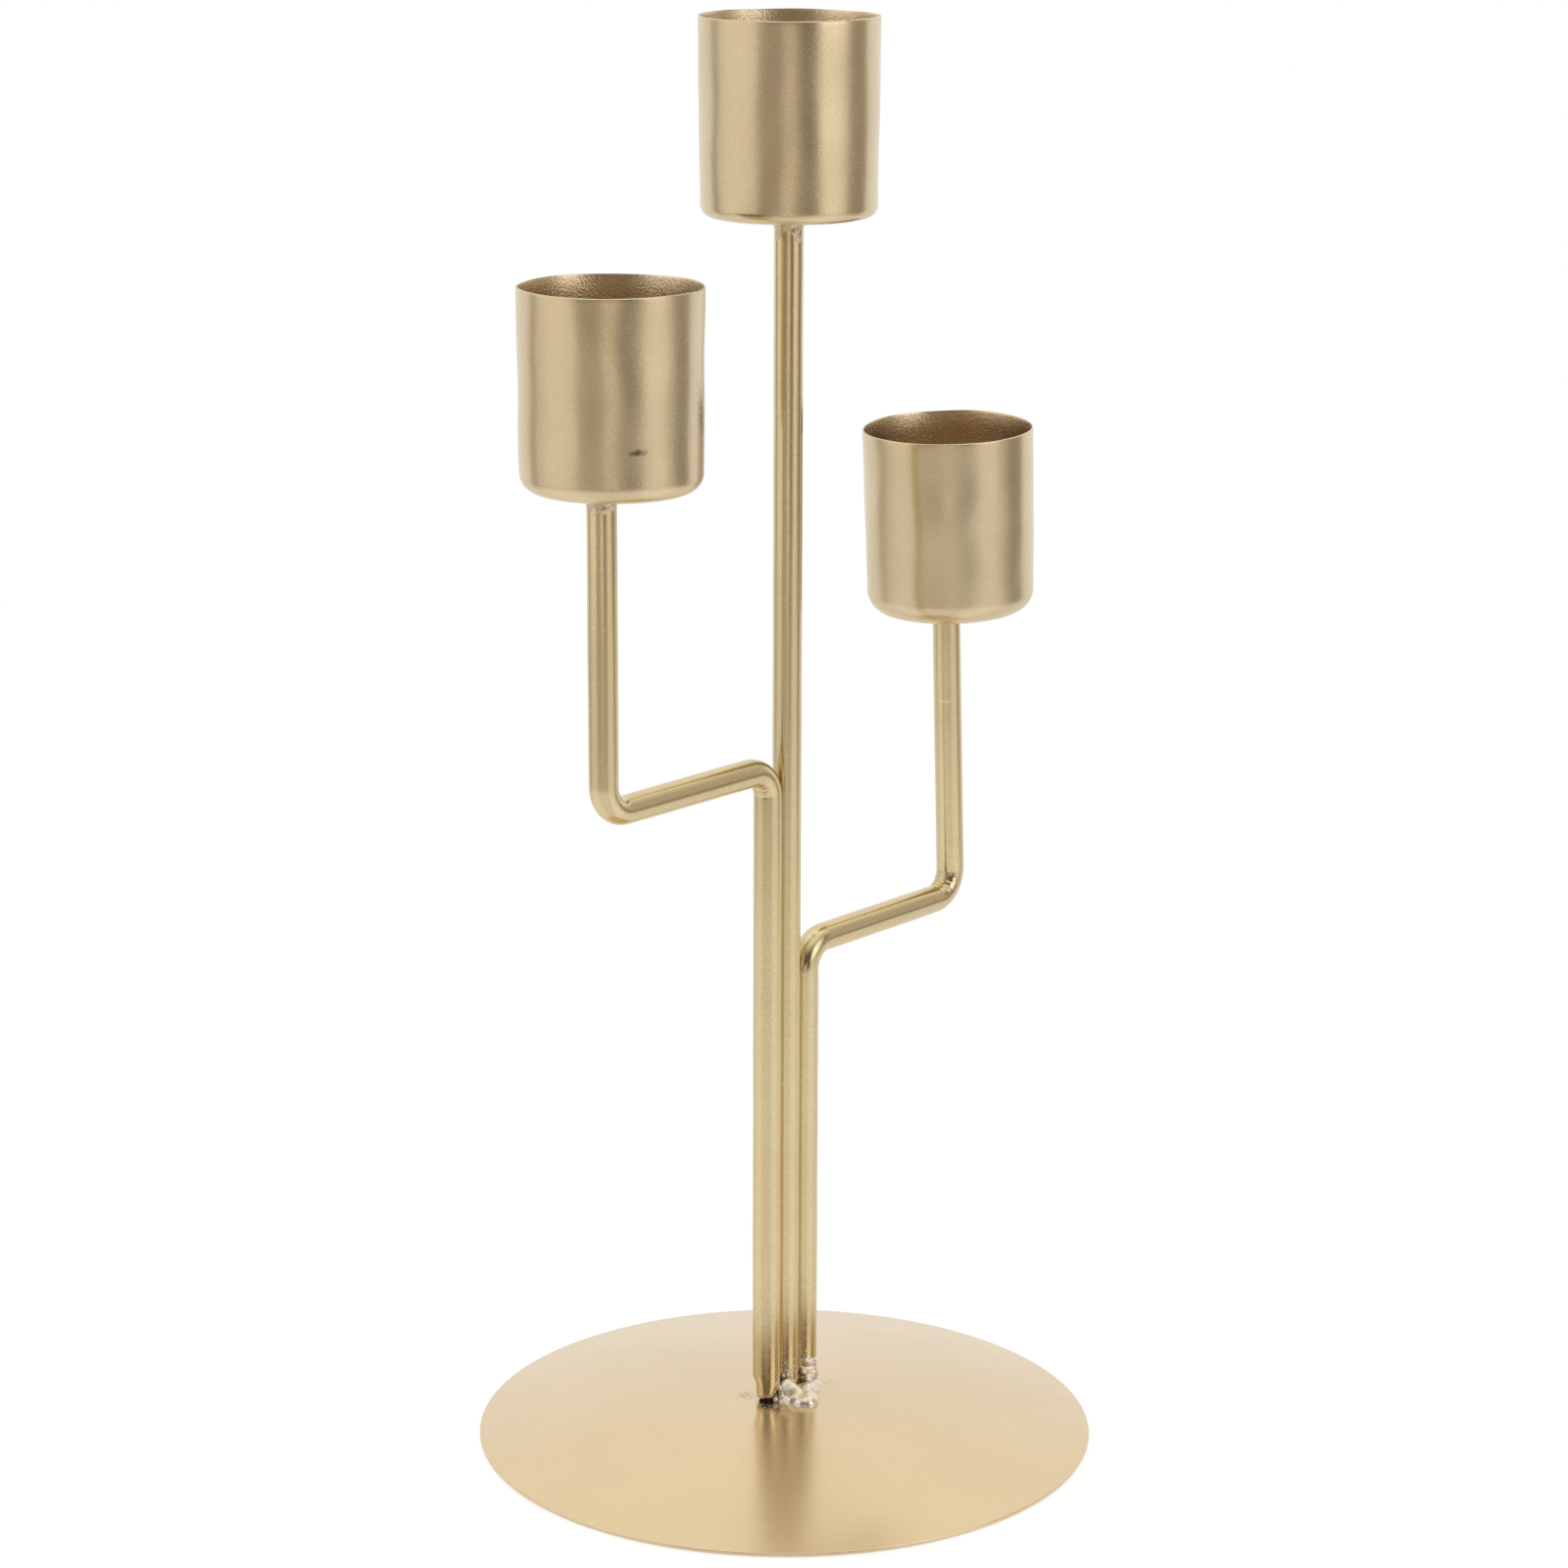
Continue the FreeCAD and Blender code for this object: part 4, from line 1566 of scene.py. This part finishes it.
@dataclass
class Studio:
    """A white table top, a white backdrop behind, a dim room in front, and soft lamps around.

    A reach is a pair of distances between which a change comes in. A turn is such a pair of cosines, of the
    angle from a level direction: away from the camera, towards a lamp, or towards the gap beside one.
    """

    camera: PhotoCamera
    floor_radius: float = 0.6
    floor_inner: float = 0.01
    floor_levels: Pair = (-0.003, -0.0001)
    floor_rows: tuple[int, int] = (3, 12)
    floor_columns: int = 96
    floor_matt: Colour = (0.9, 0.9, 0.9)
    floor_shadow: float = 0.22
    floor_white: float = 1.07
    floor_glow: Colour = (0.94, 0.92, 0.89)
    # Painted shade in the table top's reflected colour, far out in front and at the sides.
    painted_far_shade: Colour = (0.43, 0.41, 0.385)
    floor_far_reach: Pair = (0.20, 0.46)
    painted_side_shade: Colour = (0.34, 0.32, 0.29)
    floor_side_reach: Pair = (0.25, 0.45)
    floor_side_turn: Pair = (-0.25, 0.0)
    floor_side_share: float = 0.9
    floor_behind_turn: Pair = (0.30, 0.48)
    # The colour of the painted pools of light.
    painted_pool_glow: Colour = (1.40, 1.40, 1.38)
    pool_turn: Pair = (0.80, 0.98)
    room: Wall = Wall(
        ((0.58, 0.52, 0.46), (0.36, 0.32, 0.28), (0.13, 0.11, 0.095), (0.80, 0.79, 0.77)),
        ((-0.16, -0.09), (0.02, 0.20), (0.40, 0.85)),
    )
    sides: Wall = Wall(
        ((0.34, 0.30, 0.26), (0.60, 0.54, 0.47), (1.02, 1.00, 0.95)), ((-0.06, 0.0), (0.40, 0.90))
    )
    sides_turn: Pair = (-0.15, 0.05)
    backdrop: Wall = Wall(((0.98, 0.97, 0.97), (1.05, 1.00, 0.88)), ((0.22, 0.72),))
    backdrop_turn: Pair = (0.36, 0.48)
    gap: Colour = (0.08, 0.07, 0.06)
    gap_bearing: float = 26.0
    gap_turn: Pair = (0.965, 0.99)
    gap_share: float = 0.6
    softboxes: tuple[Softbox, ...] = (
        Softbox("right_softbox", 59.5, 0.80, 1.00, 0.50, 0.55, pool=0.42),
        Softbox("right_high_softbox", 53.0, 0.70, 0.54, 0.43, 1.08),
        Softbox("right_low_softbox", 55.5, 0.57, 0.40, -0.20, 0.38),
        Softbox("left_softbox", -72.0, 1.30, 1.00, 0.50, 0.58, pool=0.34),
        Softbox("left_high_softbox", -66.0, 0.80, 0.40, 0.50, 0.60),
        Softbox("left_low_softbox", -72.0, 1.30, 0.40, -0.20, 0.44),
        Softbox("front_card", 0.0, 0.34, 0.50, -0.10, 0.44, tint=(1.0, 0.89, 0.80)),
        Softbox("top_softbox", 0.0, 1.70, 1.70, 0.10, 0.22, distance=1.2, lift=86.0),
    )

    def build(self) -> None:
        """Set the stage, the lamps, the world and the camera."""
        self._floor()
        self._world()
        for box in self.softboxes:
            box.build(self.camera)
        self.camera.build()
        bpy.context.scene.view_settings.view_transform = "Standard"

    def _floor(self) -> None:
        """A thin disc that looks white to the camera and takes the shadow.

        In reflections it shows painted pools of light and painted shade.
        """
        under, top = self.floor_levels
        under_rows, top_rows = self.floor_rows
        inner, outer = self.floor_inner, self.floor_radius
        lower = run((inner, under), (outer, under), under_rows)
        upper = run((outer, top), (inner, top), top_rows)
        ends = [np.array([0.0, 0.0, level]) for level in self.floor_levels]
        skin = Skin(lathe(np.concatenate([lower, upper]), self.floor_columns), *ends)
        quads, triangles = skin.faces()
        mesh = bpy.data.meshes.new("table_top")
        mesh.from_pydata(skin.points.tolist(), [], quads.tolist() + triangles.tolist())
        mesh.materials.append(self._floor_finish())
        floor = place_object("table_top", mesh)

    def _floor_finish(self) -> bpy.types.Material:
        """Build the table top's nodes: matt, and mostly glowing to camera, glossy and clear rays.

        Returns:
            The material.
        """
        made = bpy.data.materials.new("white_table_top")
        tree = ShaderTree(made)
        camera_ray, glossy_ray, clear_ray = (tree.ray(kind) for kind in Ray)
        matt = tree.node("ShaderNodeBsdfDiffuse", {}, {"Color": (*self.floor_matt, 1.0)})
        glow = tree.mix(glossy_ray, (self.floor_white,) * 3, self._painted_pools(tree))
        white = tree.node("ShaderNodeEmission", {}, {"Color": glow, "Strength": 1.0})
        pale = tree.node("ShaderNodeMixShader", {}, {0: 1.0 - self.floor_shadow, 1: matt, 2: white})
        seen = camera_ray.larger(glossy_ray).larger(clear_ray)
        shader = tree.node("ShaderNodeMixShader", {}, {0: seen, 1: matt, 2: pale})
        tree.finish("ShaderNodeOutputMaterial", shader)
        return made

    def _painted_pools(self, tree: ShaderTree) -> Socket:
        """The table top's colour in reflections, with painted shade and painted pools of light.

        It is dimmer far out and at the sides, and brighter by each lamp.

        Args:
            tree: The table top's tree.

        Returns:
            The colour.
        """
        place = tree.place()
        heading = tree.node("ShaderNodeVectorMath", {"operation": "NORMALIZE"}, {0: place})
        out = tree.length(place)
        away = tree.dot(heading, tuple(self.camera.away))
        before = 1.0 - away.step(*self.floor_behind_turn)
        colour = tree.mix(out.step(*self.floor_far_reach) * before, self.floor_glow, self.painted_far_shade)
        beside = away.step(*self.floor_side_turn) * before * out.step(*self.floor_side_reach)
        colour = tree.mix(beside * self.floor_side_share, colour, self.painted_side_shade)
        for box in self.softboxes:
            if box.pool:
                near = tree.dot(heading, tuple(self.camera.towards(box.bearing))).step(*self.pool_turn)
                colour = tree.mix(near * box.pool, colour, self.painted_pool_glow)
        return colour

    def _world(self) -> None:
        """White to the camera; to the object, a dim room in front, paler sides and a white backdrop behind.

        Each of the three changes with height. The sides begin about 90 degrees from the camera's side, and
        the backdrop about 115 degrees from it. A dark gap is left between the camera and the right lamp.
        """
        world = bpy.data.worlds.new("studio")
        bpy.context.scene.world = world
        tree = ShaderTree(world)
        heading = tree.node("ShaderNodeTexCoord", {}, {}, "Generated")
        rise = tree.dot(heading, UP)
        away = tree.dot(heading, tuple(self.camera.away))
        between = tree.dot(heading, tuple(self.camera.towards(self.gap_bearing))).step(*self.gap_turn)
        room = tree.mix(between * self.gap_share, self.room.colour(tree, rise), self.gap)
        around = tree.mix(away.step(*self.sides_turn), room, self.sides.colour(tree, rise))
        around = tree.mix(away.step(*self.backdrop_turn), around, self.backdrop.colour(tree, rise))
        seen = tree.ray(Ray.CAMERA).larger(tree.ray(Ray.TRANSMISSION))
        colour = tree.mix(seen, around, WHITE)
        shader = tree.node("ShaderNodeBackground", {}, {"Color": colour, "Strength": 1.0})
        tree.finish("ShaderNodeOutputWorld", shader)


BASE_PAINT = MetallicPaint(
    name="champagne_base_paint",
    tint=(0.775, 0.62, 0.41),
    shade=(0.735, 0.585, 0.38),
    sparkle=(0.86, 0.76, 0.59),
    roughness=0.185,
    coat=0.2,
    sparkle_strength=0.10,
    grain_height=0.0000012,
    flake_roughness=0.02,
    outer_roughness=0.05,
    metallic=0.80,
    marks_and_shade=(
        # The first mark is painted shade on the plate in front of the gap under the left rod's foot. The
        # second is a faint brown mark.
        WearAndShadeMark((-0.0057, -0.0014, 0.0055), (0.0017, 0.0015, 0.0010), (0.22, 0.155, 0.085), 0.50),
        WearAndShadeMark((-0.0047, 0.0031, 0.0055), (0.0019, 0.0023, 0.0010), (0.36, 0.27, 0.17), 0.15),
    ),
)
ROD_PAINT = MetallicPaint(
    name="champagne_rod_paint",
    tint=(0.69, 0.57, 0.34),
    shade=(0.64, 0.525, 0.30),
    sparkle=(0.88, 0.78, 0.58),
    roughness=0.19,
    coat=0.15,
    sparkle_strength=0.3,
    grain_height=0.000003,
    peel_height=0.000005,
    drawn=True,
    marks_and_shade=(WearAndShadeMark((0.03430, -0.00075, 0.10185), (0.0014, 0.0014, 0.00022), (0.90, 0.80, 0.62), 0.85),),
)
CUP_PAINT = MetallicPaint(
    name="champagne_cup_paint",
    tint=(0.69, 0.57, 0.365),
    shade=(0.64, 0.525, 0.33),
    sparkle=(0.88, 0.80, 0.64),
    roughness=0.26,
    coat=0.3,
    flake_size=0.00016,
    sparkle_strength=0.40,
    grain_size=0.00030,
    grain_height=0.000007,
    # Past the mouth the paint is rougher and grainier, with painted sheen inside.
    inside_from=CandleCup.height,
    marks_and_shade=(WearAndShadeMark((-0.04189, -0.01039, 0.14946), (0.0016, 0.0016, 0.0006), (0.10, 0.075, 0.045), 0.85),),
)
WELD_PAINT = MetallicPaint(
    name="pale_weld_paint",
    tint=(0.86, 0.78, 0.64),
    shade=(0.74, 0.66, 0.52),
    sparkle=(0.92, 0.88, 0.78),
    roughness=0.20,
    coat=0.8,
    coat_roughness=0.05,
    sparkle_strength=0.1,
    grain_height=0.000004,
    metallic=0.75,
    # The mark is a painted reflection: a dark olive leaf on the front puddle's upper left.
    marks_and_shade=(WearAndShadeMark((-0.00272, -0.00314, 0.00705), (0.0011, 0.0013, 0.0007), (0.38, 0.33, 0.25), 0.85),),
)
SPATTER_PAINT = MetallicPaint(
    name="spatter_paint",
    tint=(0.88, 0.82, 0.70),
    shade=(0.68, 0.60, 0.46),
    sparkle=(0.95, 0.90, 0.78),
    roughness=0.34,
    grain_height=0.000004,
    metallic=0.8,
)
COLLAR_PAINT = MetallicPaint(
    name="gritty_collar_paint",
    tint=(0.66, 0.565, 0.39),
    shade=(0.52, 0.43, 0.28),
    sparkle=(0.92, 0.87, 0.74),
    roughness=0.22,
    flake_size=0.00028,
    grain_size=0.00034,
    grain_height=0.00005,
)


def main() -> None:
    """Build the candelabra's pieces in order, then the studio around them."""
    logging.basicConfig(level=logging.INFO, format="%(name)s: %(message)s")
    camera = PhotoCamera()
    plate = BasePlate(BASE_PAINT)
    plate.build()
    rods = RodFrame(ROD_PAINT, camera)
    rods.build()
    CupSet(CUP_PAINT, COLLAR_PAINT, rods).build()
    FootWelds(WELD_PAINT, BurntScaleAndShade(), plate, rods).build()
    WeldSpatter(WELD_DROPS, SPATTER_PAINT, plate, rods).build()
    WeldSpatter(BURNT_DROPS, BurntScaleAndShade(), plate, rods).build()
    Studio(camera).build()


if __name__ == "__main__":
    main()
